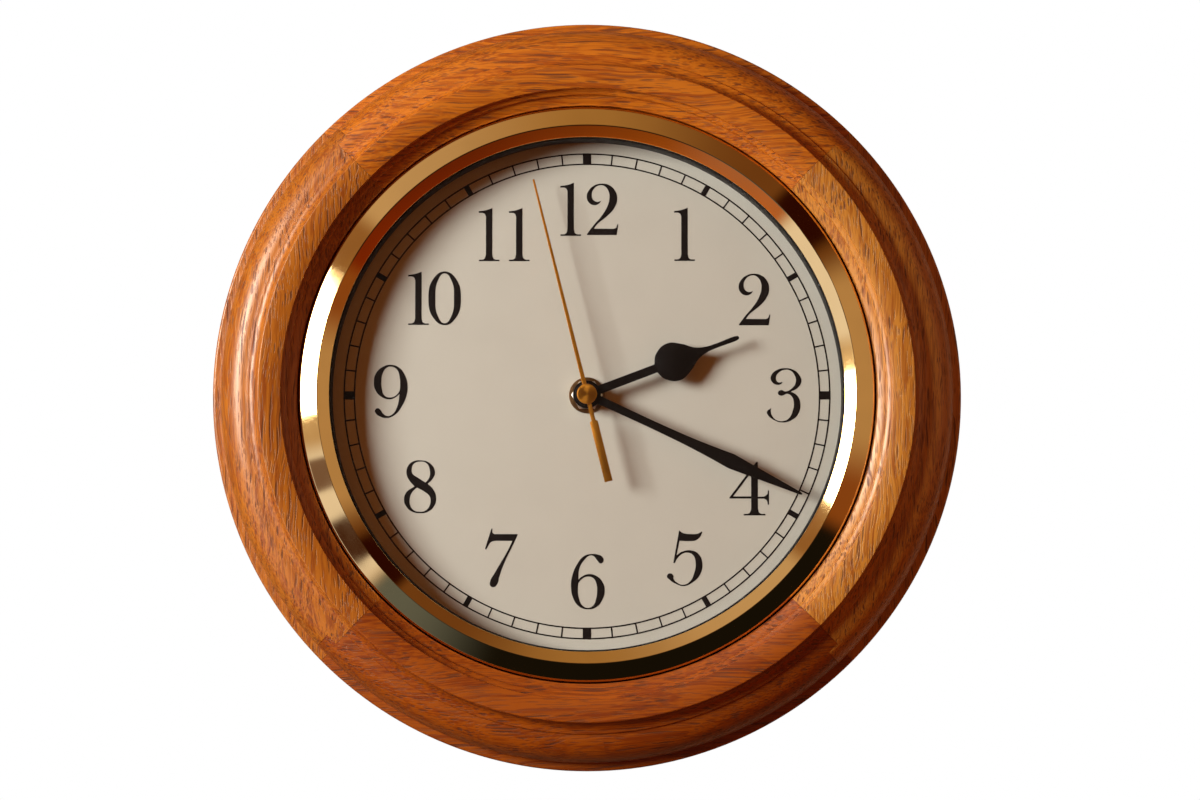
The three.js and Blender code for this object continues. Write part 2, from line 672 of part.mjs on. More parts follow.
function makeDial() {
  add('dial_plate', disc(flangeRadius, dialBack, dialFront), DIAL_PAPER);
  const drilled = BOARD_THICKNESS + 2 * OVERCUT;
  const holes = boardScrewSeats().map((at) => pilotHole(at, boardBack - OVERCUT, drilled));
  add('backing_board', cut(disc(boardRadius, boardBack, boardFront), ...holes), HARDBOARD);
}

// Pan-head screw along the hand axis, its point to the front
function panScrew(seat, length) {
  const headBack = seat - SCREW_HEAD_HEIGHT;
  return turned([
    [0, headBack],
    [SCREW_HEAD_RADIUS / 2, headBack],
    [SCREW_HEAD_RADIUS, seat - SCREW_HEAD_HEIGHT / 2],
    [SCREW_HEAD_RADIUS, seat],
    [SCREW_RADIUS, seat],
    [SCREW_RADIUS, seat + length - 2 * SCREW_RADIUS],
    [0, seat + length],
  ], 2 * HOLE_STEPS);
}

// Flat-head screw whose cone sits in the hanger plate; slack widens it into the seat that the plate needs
function sunkScrew(slack, length) {
  const face = SEAT_GAP - slack;
  return turned([
    [0, face],
    [SCREW_HEAD_RADIUS + slack, face],
    [SCREW_RADIUS + slack, HANGER_THICKNESS],
    [SCREW_RADIUS + slack, HANGER_THICKNESS + length - 2 * SCREW_RADIUS],
    [0, HANGER_THICKNESS + length],
  ], 2 * HOLE_STEPS);
}

function placed(geometry, at) {
  return geometry.clone().translate(at.x, 0, at.y);
}

function makeFasteners() {
  const screw = panScrew(boardBack - SEAT_GAP, BOARD_THICKNESS + BOARD_SCREW_BITE);
  boardScrewSeats().forEach((at, index) => add(`board_screw_${index + 1}`, placed(screw, at), STEEL));
  const hanger = plate(hangerShape(0), 0, HANGER_THICKNESS);
  const keyhole = plate(keyholeShape(), -OVERCUT, HANGER_THICKNESS + OVERCUT);
  const seats = hangerScrewSeats();
  const sinks = seats.map((at) => placed(sunkScrew(RUN_GAP, HANGER_SCREW_BITE), at));
  add('hanger_plate', cut(hanger, keyhole, ...sinks), STEEL);
  const sunk = sunkScrew(0, HANGER_SCREW_BITE);
  ['left', 'right'].forEach((side, index) => add(`hanger_screw_${side}`, placed(sunk, seats[index]), STEEL));
}

function makeMovementShell() {
  const bearings = [thirdArbor, stepArbor, rotorArbor].map((at) => [at, ARBOR_RADIUS, frontBossEnd]);
  bearings.push([knobArbor, KNOB_SHAFT, knobBossEnd]);
  const outline = roundedRectangle(-shellHalf, shellBottom, shellHalf, shellTop, SHELL_CORNER);
  const block = plate(outline, shellRear, movementFront);
  const room = plate(rectangle(-roomHalf, partitionTop, roomHalf, roomTop), 0, shellInner);
  const bay = plate(rectangle(-bayHalf, bayBottom, bayHalf, bayTop), 0, bayFront);
  const bosses = bearings.map(([at, radius, end]) => pillar(at, radius + BOSS_WALL, end, movementFront));
  const stub = pillar(motionArbor, ARBOR_RADIUS, levelBack(LEVEL.motion) - RUN_GAP, movementFront);
  const post = plate(circle(centre, POST_RADIUS), shellInner, postFront, TUBE_CURVE);
  const sockets = bearings.map(([at, radius, end]) => (
    pillar(at, radius + PIVOT_PLAY, end - OVERCUT, end + SOCKET_DEPTH)
  ));
  const bore = plate(circle(centre, postBore), shellRear, postFront + OVERCUT, TUBE_CURVE);
  const shell = joined(cut(block, room, bay), ...bosses, stub, post);
  add('movement_shell', cut(shell, ...sockets, bore), BLACK_PLASTIC);
}

function makeMovementCover() {
  const bearings = [centre, thirdArbor, stepArbor, rotorArbor];
  const inner = shellRear - SEAT_GAP;
  const outline = roundedRectangle(-shellHalf, bayTop, shellHalf, shellTop, SHELL_CORNER);
  const sheet = plate(outline, movementRear, inner);
  const bosses = bearings.map((at) => pillar(at, ARBOR_RADIUS + BOSS_WALL, movementRear, rearBossEnd));
  const sockets = bearings.map((at) => (
    pillar(at, ARBOR_RADIUS + PIVOT_PLAY, rearBossEnd - SOCKET_DEPTH, rearBossEnd + OVERCUT)
  ));
  const cupFront = wellFloor + WELL_WALL;
  const cup = plate(circle(knobArbor, wellRadius + WELL_WALL), movementRear, cupFront, TUBE_CURVE);
  const well = plate(circle(knobArbor, wellRadius), 0, wellFloor, TUBE_CURVE);
  const hole = pillar(knobArbor, KNOB_SHAFT + PIVOT_PLAY, 0, cupFront + OVERCUT);
  add('movement_cover', cut(joined(sheet, cup, ...bosses), ...sockets, well, hole), BLACK_PLASTIC);
}

// A wheel and its pinion on one arbor, which turns in the sockets of the shell and the cover
function wheelOnArbor(at, wheel, pinion, front) {
  const rear = rearBossEnd - PIVOT_REACH;
  return joined(wheel, pinion, pillar(at, ARBOR_RADIUS, rear, front));
}

function makeGoingTrain() {
  const front = frontBossEnd + PIVOT_REACH;
  const rotorPinion = gear(rotorArbor, LEAVES, ROTOR_MODULE, rotorPhase, LEVEL.step);
  const spindle = pillar(rotorArbor, ARBOR_RADIUS, rearBossEnd - PIVOT_REACH, front);
  add('rotor_pinion', joined(rotorPinion, spindle), WHITE_PLASTIC);
  const magnet = ring(rotorArbor, ARBOR_RADIUS + PRESS_GAP, MAGNET_RADIUS);
  add('rotor_magnet', plate(magnet, magnetBack, magnetBack + MAGNET_LENGTH), STEEL);
  add('step_wheel', wheelOnArbor(
    stepArbor,
    gear(stepArbor, STEP_TEETH, ROTOR_MODULE, stepPhase, LEVEL.step),
    gear(stepArbor, LEAVES, SECONDS_MODULE, stepPinionPhase, LEVEL.seconds),
    front,
  ), WHITE_PLASTIC);
  add('seconds_wheel', wheelOnArbor(
    centre,
    gear(centre, SECONDS_TEETH, SECONDS_MODULE, secondsPhase, LEVEL.seconds),
    gear(centre, LEAVES, thirdModule, secondsPinionPhase, LEVEL.third),
    secondHandBack + HAND_THICKNESS,
  ), WHITE_PLASTIC);
  add('third_wheel', wheelOnArbor(
    thirdArbor,
    gear(thirdArbor, THIRD_TEETH, thirdModule, thirdPhase, LEVEL.third),
    gear(thirdArbor, LEAVES, minuteModule, thirdPinionPhase, LEVEL.minute),
    front,
  ), WHITE_PLASTIC);
}

function makeMotionWork() {
  const minuteWheel = gear(centre, MINUTE_TEETH, minuteModule, minutePhase, LEVEL.minute);
  const minuteSeat = pillar(centre, minuteTube + PRESS_GAP, 0, postFront);
  add('minute_wheel', cut(minuteWheel, minuteSeat), WHITE_PLASTIC);
  const minuteFront = minuteHandBack + HAND_THICKNESS + TUBE_STAND;
  const arbor = plate(circle(centre, minuteTube), levelBack(LEVEL.minute), minuteFront);
  const cannon = gear(centre, CANNON_LEAVES, MOTION_MODULE, cannonPhase, LEVEL.motion);
  const minuteHole = pillar(centre, minuteBore, 0, minuteFront + OVERCUT);
  add('minute_arbor', cut(joined(arbor, cannon), minuteHole), STEEL);
  const motionWheel = gear(motionArbor, MOTION_TEETH, MOTION_MODULE, motionPhase, LEVEL.motion);
  const motionPinion = gear(motionArbor, LEAVES, hourModule, motionPinionPhase, LEVEL.hour);
  const hubRadius = ARBOR_RADIUS + BOSS_WALL;
  const motionHub = pillar(motionArbor, hubRadius, levelBack(LEVEL.motion), levelBack(LEVEL.hour));
  const stubSeat = pillar(motionArbor, ARBOR_RADIUS + PIVOT_PLAY, 0, movementFront);
  add('motion_wheel', cut(joined(motionWheel, motionHub, motionPinion), stubSeat), WHITE_PLASTIC);
  const hourFront = hourHandBack + HAND_THICKNESS + TUBE_STAND;
  const hourWheel = gear(centre, HOUR_TEETH, hourModule, hourPhase, LEVEL.hour);
  const tube = plate(circle(centre, hourTube), levelBack(LEVEL.hour), hourFront);
  const hourHole = pillar(centre, hourBore, 0, hourFront + OVERCUT);
  add('hour_wheel', cut(joined(hourWheel, tube), hourHole), WHITE_PLASTIC);
}

function makeSettingKnob() {
  const head = plate(circle(knobArbor, KNOB_RADIUS), knobBack, knobBack + KNOB_THICKNESS, TUBE_CURVE);
  const shaft = pillar(knobArbor, KNOB_SHAFT, knobBack, knobBossEnd + PIVOT_REACH);
  const pinion = gear(knobArbor, CANNON_LEAVES, MOTION_MODULE, knobPhase, LEVEL.motion);
  add('setting_knob', joined(head, shaft, pinion), WHITE_PLASTIC);
}

// Turned about the clock's left-right line through the coil
function alongCoil(outline) {
  const geometry = turned(outline, 2 * HOLE_STEPS).rotateZ(Math.PI / 2);
  return geometry.translate(rotorArbor.x, -coilDepth, coilHeight);
}

function makeMotor() {
  const left = rotorArbor.x - STATOR_LENGTH / 2;
  const right = rotorArbor.x + STATOR_LENGTH / 2;
  const base = rotorArbor.y - statorHalf;
  const shoulder = rotorArbor.y + statorHalf;
  const armTop = coilHeight + CORE_WIDTH / 2;
  const stator = polygon([
    [left, base],
    [right, base],
    [right, armTop],
    [right - STATOR_ARM, armTop],
    [right - STATOR_ARM, shoulder],
    [left + STATOR_ARM, shoulder],
    [left + STATOR_ARM, armTop],
    [left, armTop],
  ]);
  stator.holes.push(circle(rotorArbor, MAGNET_RADIUS + AIR_GAP));
  add('stator_plate', plate(stator, statorBack, statorBack + STATOR_THICKNESS), STEEL);
  const core = rectangle(left, coilHeight - CORE_WIDTH / 2, right, armTop);
  add('coil_core', plate(core, coreBack, coreBack + STATOR_THICKNESS), STEEL);
  const half = COIL_LENGTH / 2;
  const barrel = BOBBIN_BORE + BOBBIN_WALL;
  add('coil_bobbin', alongCoil([
    [BOBBIN_BORE, -half],
    [COIL_RADIUS, -half],
    [COIL_RADIUS, BOBBIN_FLANGE - half],
    [barrel, BOBBIN_FLANGE - half],
    [barrel, half - BOBBIN_FLANGE],
    [COIL_RADIUS, half - BOBBIN_FLANGE],
    [COIL_RADIUS, half],
    [BOBBIN_BORE, half],
  ]), WHITE_PLASTIC);
  const turns = half - BOBBIN_FLANGE - SEAT_GAP;
  const under = barrel + SEAT_GAP;
  const over = COIL_RADIUS - RUN_GAP;
  add('coil_winding', alongCoil([[under, -turns], [over, -turns], [over, turns], [under, turns]]), COPPER);
}

function makeElectronics() {
  const left = -roomHalf + ROOM_GAP;
  const top = roomTop - ROOM_GAP;
  const back = shellRear;
  const front = back + CIRCUIT_THICKNESS;
  const board = rectangle(left, top - BOARD_HEIGHT, left + BOARD_WIDTH, top);
  add('circuit_board', plate(board, back, front), CIRCUIT_GREEN);
  const middle = left + BOARD_WIDTH / 2;
  const canOutline = [[0, 0], [CRYSTAL_RADIUS, 0], [CRYSTAL_RADIUS, CRYSTAL_LENGTH], [0, CRYSTAL_LENGTH]];
  const can = turned(canOutline, 2 * HOLE_STEPS);
  can.rotateX(Math.PI / 2).translate(middle, -(front + SEAT_GAP + CRYSTAL_RADIUS), top - ROOM_GAP);
  add('quartz_crystal', can, STEEL);
  const chipAt = new THREE.Vector2(middle, top - BOARD_HEIGHT / 2);
  const chipBack = front + SEAT_GAP;
  add('driver_chip', pillar(chipAt, CHIP_RADIUS, chipBack, chipBack + CHIP_HEIGHT), BLACK_PLASTIC);
}

function makeBattery() {
  const half = BATTERY_LENGTH / 2;
  const shoulder = half - BATTERY_NUB;
  const cell = turned([
    [0, half],
    [BATTERY_NUB_RADIUS, half],
    [BATTERY_NUB_RADIUS, shoulder],
    [BATTERY_RADIUS - BATTERY_EDGE, shoulder],
    [BATTERY_RADIUS, shoulder - BATTERY_EDGE],
    [BATTERY_RADIUS, BATTERY_EDGE - half],
    [BATTERY_RADIUS - BATTERY_EDGE, -half],
    [0, -half],
  ], TUBE_STEPS);
  add('battery', cell.rotateZ(Math.PI / 2).translate(0, -batteryDepth, batteryHeight), BATTERY_WRAP);
  const inner = half + SEAT_GAP;
  const outer = inner + CONTACT_THICKNESS;
  const low = batteryHeight - CONTACT_SIZE / 2;
  const high = batteryHeight + CONTACT_SIZE / 2;
  const rear = batteryDepth - CONTACT_SIZE / 2;
  const front = bayFront - SEAT_GAP;
  add('contact_positive', plate(rectangle(inner, low, outer, high), rear, front), STEEL);
  add('contact_negative', plate(rectangle(-outer, low, -inner, high), rear, front), STEEL);
}

function makeHubHardware() {
  const cushion = ring(centre, postHole, RUBBER_RADIUS);
  const cushionBack = movementFront + SEAT_GAP;
  add('rubber_washer', plate(cushion, cushionBack, cushionBack + RUBBER_THICKNESS, TUBE_CURVE), RUBBER);
  const washer = ring(centre, postHole, WASHER_RADIUS);
  add('hub_washer', plate(washer, washerBack, washerBack + WASHER_THICKNESS, TUBE_CURVE), BRASS);
  const corner = NUT_FLATS / 2 / Math.cos(Math.PI / NUT_SIDES);
  const corners = Array.from({ length: NUT_SIDES }, (_, index) => direction(index * 360 / NUT_SIDES, corner));
  const nut = new THREE.Shape(corners);
  nut.holes.push(circle(centre, postHole));
  add('hub_nut', plate(nut, nutBack, nutBack + NUT_THICKNESS, TUBE_CURVE), BRASS);
}

// A hand pointing at 12: its right-hand edge is drawn from the boss to the tip and mirrored
function mirrored(edge) {
  return polygon([...edge, ...edge.map(([x, y]) => [-x, y]).reverse()]);
}

// Points of a smooth curve between two points, with its control points between them
function bend(...points) {
  const curve = new THREE.CubicBezierCurve(...points.map(([x, y]) => new THREE.Vector2(x, y)));
  return curve.getPoints(2 * HOLE_STEPS).map((point) => point.toArray());
}

function hourBlade() {
  const start = Math.sqrt(HOUR_SPADE_RADIUS ** 2 - HOUR_SHAFT ** 2);
  const shoulder = HOUR_SPADE_RADIUS * Math.SQRT1_2;
  const spade = new THREE.EllipseCurve(
    0, HOUR_SPADE_REACH, HOUR_SPADE_RADIUS, HOUR_SPADE_RADIUS,
    -Math.atan2(start, HOUR_SHAFT), Math.PI / 4, false,
  );
  const leave = [shoulder, HOUR_SPADE_REACH + shoulder];
  const span = HOUR_NECK_REACH - leave[1];
  const neck = bend(
    leave,
    [leave[0] - span / 3, leave[1] + span / 3],
    [HOUR_TIP, HOUR_NECK_REACH - span / 2],
    [HOUR_TIP, HOUR_NECK_REACH],
  );
  return mirrored([
    [HOUR_SHAFT, 0],
    ...spade.getPoints(2 * HOLE_STEPS).map((point) => point.toArray()),
    ...neck.slice(1),
    [HOUR_TIP, HOUR_LENGTH - HOUR_TIP],
    [HOUR_TIP / 2, HOUR_LENGTH],
  ]);
}

function minuteBlade() {
  const span = (MINUTE_LANCE_REACH - MINUTE_SHAFT_REACH) / 2;
  const swell = bend(
    [MINUTE_SHAFT, MINUTE_SHAFT_REACH],
    [MINUTE_SHAFT, MINUTE_SHAFT_REACH + span],
    [MINUTE_LANCE, MINUTE_LANCE_REACH - span / 2],
    [MINUTE_LANCE, MINUTE_LANCE_REACH],
  );
  return mirrored([
    [MINUTE_SHAFT, 0],
    ...swell,
    [MINUTE_TIP, MINUTE_LENGTH - MINUTE_TIP],
    [MINUTE_TIP / 2, MINUTE_LENGTH],
  ]);
}

function secondBlade() {
  return mirrored([
    [SECOND_WEIGHT, -SECOND_TAIL],
    [SECOND_WEIGHT, -SECOND_NECK_REACH],
    [SECOND_NECK, -SECOND_NECK_REACH],
    [SECOND_ROOT, 0],
    [SECOND_TIP, SECOND_LENGTH],
  ]);
}

function hand(blade, boss, bore, back) {
  const front = back + HAND_THICKNESS;
  const body = joined(plate(blade, back, front), plate(circle(centre, boss), back, front, TUBE_CURVE));
  return cut(body, pillar(centre, bore, back - OVERCUT, front + OVERCUT));
}

function turnTo(mesh, degrees) {
  mesh.rotation.y = THREE.MathUtils.degToRad(degrees);
}

function makeHands() {
  const hour = hand(hourBlade(), HOUR_BOSS, hourTube + PRESS_GAP, hourHandBack);
  turnTo(add('hour_hand', hour, HAND_BLACK), HOUR_BEARING);
  const minute = hand(minuteBlade(), MINUTE_BOSS, minuteTube + PRESS_GAP, minuteHandBack);
  turnTo(add('minute_hand', minute, HAND_BLACK), MINUTE_BEARING);
  const second = hand(secondBlade(), SECOND_BOSS, CAP_STEM + PRESS_GAP, secondHandBack);
  turnTo(add('second_hand', second, BRASS), SECOND_BEARING);
  const capFront = capBack + CAP_THICKNESS;
  const bore = ARBOR_RADIUS + PRESS_GAP;
  add('second_hand_cap', turned([
    [0, capBack],
    [bore, capBack],
    [bore, secondHandBack],
    [CAP_STEM, secondHandBack],
    [CAP_STEM, capBack],
    [CAP_RADIUS, capBack],
    [CAP_RADIUS, capFront - CAP_EDGE],
    [CAP_RADIUS - CAP_EDGE, capFront],
    [0, capFront],
  ], TUBE_STEPS), BRASS);
}

makeFrame();
makeBezel();
makeGlazing();
makeDial();
makeFasteners();
makeMovementShell();
makeMovementCover();
makeGoingTrain();
makeMotionWork();
makeSettingKnob();
makeMotor();
makeElectronics();
makeBattery();
makeHubHardware();
makeHands();

// The clock hangs from the wall at the origin, a point of the hanger plate just above its slot
clock.position.z = -hangPoint;

const wallClock = new THREE.Group();
wallClock.add(clock);

export default wallClock;
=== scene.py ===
"""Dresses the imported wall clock: turned oak ring, brass bezel, printed dial, hands, hub, back and movement.

Sizes are in millimetres and become metres where a mesh is made. A depth is a distance from the wall towards
the front, so a point at depth d lies at y = -d. Bearings are clock angles, clockwise from 12 o'clock.
"""
import json
import math

import bmesh
import bpy
from mathutils import Matrix, Vector

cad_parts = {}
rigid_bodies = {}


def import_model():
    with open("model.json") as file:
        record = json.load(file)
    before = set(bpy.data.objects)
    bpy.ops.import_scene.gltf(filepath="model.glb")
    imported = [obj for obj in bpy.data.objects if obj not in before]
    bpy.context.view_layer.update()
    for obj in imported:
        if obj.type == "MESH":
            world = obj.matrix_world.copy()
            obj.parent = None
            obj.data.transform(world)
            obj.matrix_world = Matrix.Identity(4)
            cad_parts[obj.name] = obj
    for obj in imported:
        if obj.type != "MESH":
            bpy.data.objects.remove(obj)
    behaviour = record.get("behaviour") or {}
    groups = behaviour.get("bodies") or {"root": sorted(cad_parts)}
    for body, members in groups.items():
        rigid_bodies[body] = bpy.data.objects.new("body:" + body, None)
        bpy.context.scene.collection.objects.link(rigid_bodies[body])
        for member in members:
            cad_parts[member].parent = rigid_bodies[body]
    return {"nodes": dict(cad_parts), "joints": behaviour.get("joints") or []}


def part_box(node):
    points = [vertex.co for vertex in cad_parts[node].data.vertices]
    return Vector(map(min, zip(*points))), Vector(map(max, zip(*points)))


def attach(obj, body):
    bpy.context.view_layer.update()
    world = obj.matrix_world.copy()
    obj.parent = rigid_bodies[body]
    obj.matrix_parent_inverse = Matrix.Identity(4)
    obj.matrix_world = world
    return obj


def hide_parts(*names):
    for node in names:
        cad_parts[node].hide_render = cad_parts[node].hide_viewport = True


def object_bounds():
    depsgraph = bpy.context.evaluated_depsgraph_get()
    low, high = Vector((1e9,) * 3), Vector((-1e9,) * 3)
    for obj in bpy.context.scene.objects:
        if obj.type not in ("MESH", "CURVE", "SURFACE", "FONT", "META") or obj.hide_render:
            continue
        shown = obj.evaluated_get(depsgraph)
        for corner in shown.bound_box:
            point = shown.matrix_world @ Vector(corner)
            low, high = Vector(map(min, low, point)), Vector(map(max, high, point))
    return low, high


bl_info = {
    "name": "Oak Wall Clock",
    "version": (1, 0, 0),
    "blender": (4, 5, 0),
    "location": "View3D > Sidebar > Wall Clock",
    "description": "Builds the finish of a round oak wall clock around its packed frame",
    "category": "Add Mesh",
}

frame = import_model()
CAD_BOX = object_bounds()
NODES = frame["nodes"]
JOINTS = {joint["name"]: joint for joint in frame["joints"]}

MM = 0.001
HAND_AXIS = Vector((0, 1, 0))
HUB = Vector((0, 0, JOINTS["minute_turn"]["pos_m"][2]))


def depths(part):
    """The back and front depths of a CAD node."""
    low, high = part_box(part)
    return -high.y / MM, -low.y / MM


def span(part):
    """Half the width of a CAD node, and its back and front depths."""
    low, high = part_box(part)
    return (high.x - low.x) / 2 / MM, *depths(part)


# Facets around large, middling and small round pieces, and along curved outlines
RING_STEPS = 192
TUBE_STEPS = 48
HOLE_STEPS = 24
MOULDING_STEPS = 14
CORNER_STEPS = 6
EASE_STEPS = 8

# Distances in metres within which points are welded, on new meshes and on copies of CAD meshes
WELD = 1e-7
CAD_WELD = 1e-6
# Turns between two faces: one that still counts as flat, and those whose edges are bevelled or shaded sharp
FLAT_TURN = math.radians(1)
SHARP_TURN = math.radians(26)
SHEET_TURN = math.radians(30)
CAD_TURN = math.radians(50)
SMOOTH_TURN = math.radians(35)
OAK_TURN = math.radians(40)
NUT_TURN = math.radians(20)
# How far a cutting tool passes the face that it cuts
OVERCUT = 1.0

# Oak ring: radii and depths of its mouldings, from the bezel outwards
OAK_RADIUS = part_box("frame_segment_top")[1].z / MM - HUB.z / MM
FACE_DEPTH = depths("frame_segment_top")[1]
LIP = (116.9, 25.1, 36.3)
LOW_ROUND = ((120.9, 37.9), (117.4, 36.3))
HIGH_ROUND = ((123.1, 40.6), (120.9, 39.5))
ROUND_BULGE = 0.16
FACE_INNER = (123.1, 43.4)
FACE_OUTER = (131.9, FACE_DEPTH)
OUTER_COVE = ((136.8, 38.7), (132.3, 43.9))
OVOLO = ((137.1, 37.8), (149.1, 23.4))
EDGE_DEPTH = 22.5
EDGE_ROUND = 1.2
BACK_CHAMFER = 1.0
BOARD_REBATE = (126.9, 21.4)
FLANGE_REBATE = 120.9
ARRIS_ROUND = 0.22

# Tongued mitres between the oak segments: the tongue's depths and length, the glue and the cut's reach
SEGMENTS = ("top", "right", "bottom", "left")
TONGUE = (FACE_DEPTH - 19.1, FACE_DEPTH - 8.1)
TONGUE_REACH = 5.0
GLUE_LINE = 0.05
CUT_REACH = 1.5 * OAK_RADIUS
SECTOR_HALF = math.radians(53)

# Each board's tint on the oak's colours, partly its own colour and partly painted light and shade, which
# makes the bottom board darker and redder and the right board paler; then how far its grain waves and where
# along the timber it was cut
BOARDS = {
    "top": ((1.22, 1.02, 0.6), 2.0, 80),
    "right": ((1.24, 1.44, 2.2), 3.5, 148),
    "bottom": ((0.76, 0.48, 0.18), 2.0, 285),
    "left": ((0.98, 0.87, 0.72), 4.0, 520),
}
# How far the boards lie apart in the timber, where its pith is, and how far that strays from board to board
BOARD_STEP = (9.0, 23.0)
PITH = (26.0, -95.0)
PITH_STEP = (9.0, 14.0)
GRAIN_TILT = 0.02

# Oak grain: length and width of what the eye sees in it
SWAY_SIZE = (130, 42)
CURL_SIZE = (24, 14)
PORE_SIZE = (26, 1.05)
SPECK_SIZE = (10, 0.65)
RAY_SIZE = (26, 3.2)
FIBRE_SIZE = (50, 0.7)
STREAK_SIZE = (90, 3.2)
TONE_SIZE = (150, 30)
SWAY_REACH = 16
VARNISH_TINT = (1.0, 0.84, 0.58, 1.0)

# Keyhole hanger: width and height, thickness, place, edge, room around and under it, and screw holes
HANGER_SIZE = (42.0, 18.0)
HANGER_DEPTH = 1.5
HANGER_RADIUS = 139.2
HANGER_EDGE = 0.15
HANGER_ROOM = (0.3, 0.1)
HANGER_HOLE = (14.5, 3.35)
# Radius and height of the keyhole's entry and of its slot's end, from the middle of the plate
KEYHOLE_ENTRY = (4.5, -3.2)
KEYHOLE_SLOT = (2.3, 3.0)
# Pocket for the nail: half width, lower and upper end, depth
NAIL_POCKET = (5.5, -8.7, 5.6, 9.0)

# Brass bezel: radii and depths
VIEW_RADIUS = 104.0
RIDGE = (108.6, 39.7)
BEZEL_INNER = (36.3, 37.1)
BEZEL_EDGE = (116.2, 37.1)
BEZEL_SHEET = 0.8
BEZEL_EASE = 1.3
FLANGE = (120.4, 24.2, 25.0)
EDGE_SOFT = 0.16
# Short flats beside the ridge and the eased edge, which keep the facets flat
RIDGE_HOLD = 0.35
EASE_HOLD = 0.3

# Black spacer: its lip inside the view, the width of its wall and the depth of its foot
SPACER_LIP = 0.5
SPACER_WALL = 2.6
SPACER_FOOT = 2.0
SPACER_SOFT = 0.2

# Dial print: how far it stands out and reaches in, and how far the marks stand out over the track lines
PRINT_RISE = 0.06
PRINT_SINK = 0.02
MARK_RISE = 0.01
MINUTES = 60
QUARTER = 15
HOUR = 5

# Hands: half outlines upwards from the hand axis, and the outer and bore radii of their bosses
HOUR_EDGE = [(1.75, 3, "c"), (1.75, 29.85, "c"), (5.4, 31.9), (7.95, 37.6), (5.75, 43.1), (2.5, 47.6),
             (1.15, 52), (0.9, 56), (0.85, 65), (0.45, 65.85)]
HOUR_BOSS = (5.65, 3.0)
MINUTE_EDGE = [(1.7, 2.5, "c"), (1.7, 38), (2.2, 52), (3.1, 64.5, "c"), (0.55, 95.2, "c"), (0.25, 96, "c")]
MINUTE_BOSS = (4.7, 2.0)
SECOND_EDGE = [(1.65, -36.5, "c"), (1.65, -11.6, "c"), (0.85, -11, "c"), (0.9, -2, "c"), (0.42, 90, "c")]
SECOND_BOSS = (3.4, 1.4)
BLADE_SOFT = 0.1
NEEDLE_SOFT = 0.08
# Cap of the second hand: radii of its wall and face, the share of its depth behind it, and its round edge
CAP_RADII = (4.1, 3.8)
CAP_BACK = 0.35
CAP_EDGE = (0.35, 0.08)

# Post: bore of what sits on it, and the cone that chamfers its nut, from the nut's corner and front
POST_BORE = 4.1
WASHER_SOFT = 0.15
NUT_CONE = ((2.0, -1.35), (-1.15, 0.3))

# Backing board and screws: shank, point and head, the pan head's outline from its top, and the cross in it
BOARD_SOFT = 0.3
BOARD_SCREWS = 4
SHANK_RADIUS = 1.5
POINT_LENGTH = 3.0
HEAD_RADIUS = 3.1
PAN_HEAD = ((0, 0), (1.5, 0.05), (2.5, 0.45), (HEAD_RADIUS, 1.1), (HEAD_RADIUS, 1.6))
CROSS_REACH = 1.9
CROSS_HALF = 0.45
PAN_CROSS = 0.9
SUNK_CROSS = 0.8

# Movement: soft edges of its case and contacts
CASE_SOFT = 0.3
LEAF_SOFT = 0.15
# Setting knob: flutes, head, half length, half width and depth of its slot, shaft and chamfer
FLUTES = 28
FLUTE_DEPTH = 0.45
KNOB_HEAD = 2.0
KNOB_SOFT = 0.12
KNOB_SLOT = (3.6, 0.6, 0.7)
KNOB_SHAFT = (1.0, 0.2)

# Cell: radii and distances from its two ends, where its wall starts and stops, and its bare band and ends
CELL_TOP = ((0, 0), (2.5, 0), (2.75, 0.25), (2.75, 1.1), (3.4, 1.2), (5.6, 1.2), (6.2, 0.9), (6.7, 0.95))
CELL_FOOT = ((6.7, 0.25), (6.0, 0.3), (4.6, 0.35), (4.4, 0), (0, 0))
CELL_WALL = (1.5, 0.9)
CELL_BAND = (14.2, 13.8)
CELL_END = (1.35, 1.25)

# Stage: middle of the picture from the hand axis in millimetres, and the rest in metres
VIEW_CENTRE = (5.3, 22, -1.85)
SENSOR_WIDTH = 36
WINDOW_SIZE = (0.62, 0.65)
WINDOW_DISTANCE = 1.7
WINDOW_COLOUR = (0.95, 0.97, 1.0)
EVEN_SHADE = (0.38, 0.085, 0.012)
EVEN_LIGHT = (1.0, 0.3, 0.065)
REAR_LIGHT = (1.9, 1.8, 1.7)
FLOOR_RADIUS = 1.1
FLOOR_STEPS = 96
FLOOR_DROP = 0.3
FLOOR_FADE = (1.05, 0.55)
FLOOR_GLOW = (0.96, 1.0, 1.0, 1.0)
ROOM_RADIUS = 4.0
ROOM = {
    "window_wall": (0.61, 0.47, 0.36),
    "ceiling": (0.41, 0.246, 0.11),
    "right_wall": (0.18, 0.075, 0.025),
    "lit_wall": (0.54, 0.37, 0.23),
    "low_wall": (0.29, 0.096, 0.025),
    "door": (0.027, 0.004, 0.001),
    "table_right": (0.28, 0.036, 0.003),
    "table_left": (0.66, 0.2, 0.03),
    "shadow_right": (0.009, 0.008, 0.006),
    "shadow_left": (0.13, 0.17, 0.24),
    "sill": (0.95, 0.98, 1.25),
    "post": (0.33, 0.175, 0.08),
    "far_end": (0.07, 0.04, 0.026),
    "near_end": (0.16, 0.08, 0.03),
}
# Dark things on the sill: bearing and half width in degrees, and colour
SILL_THINGS = ((-120, 6, (0.07, 0.03, 0.02)), (-105, 4, (0.22, 0.15, 0.15)))


# Mesh helpers


def spot(x, depth, z):
    """A point given from the hand axis: millimetres to the right, in front of the wall and up."""
    return Vector((x * MM, -depth * MM, HUB.z + z * MM))


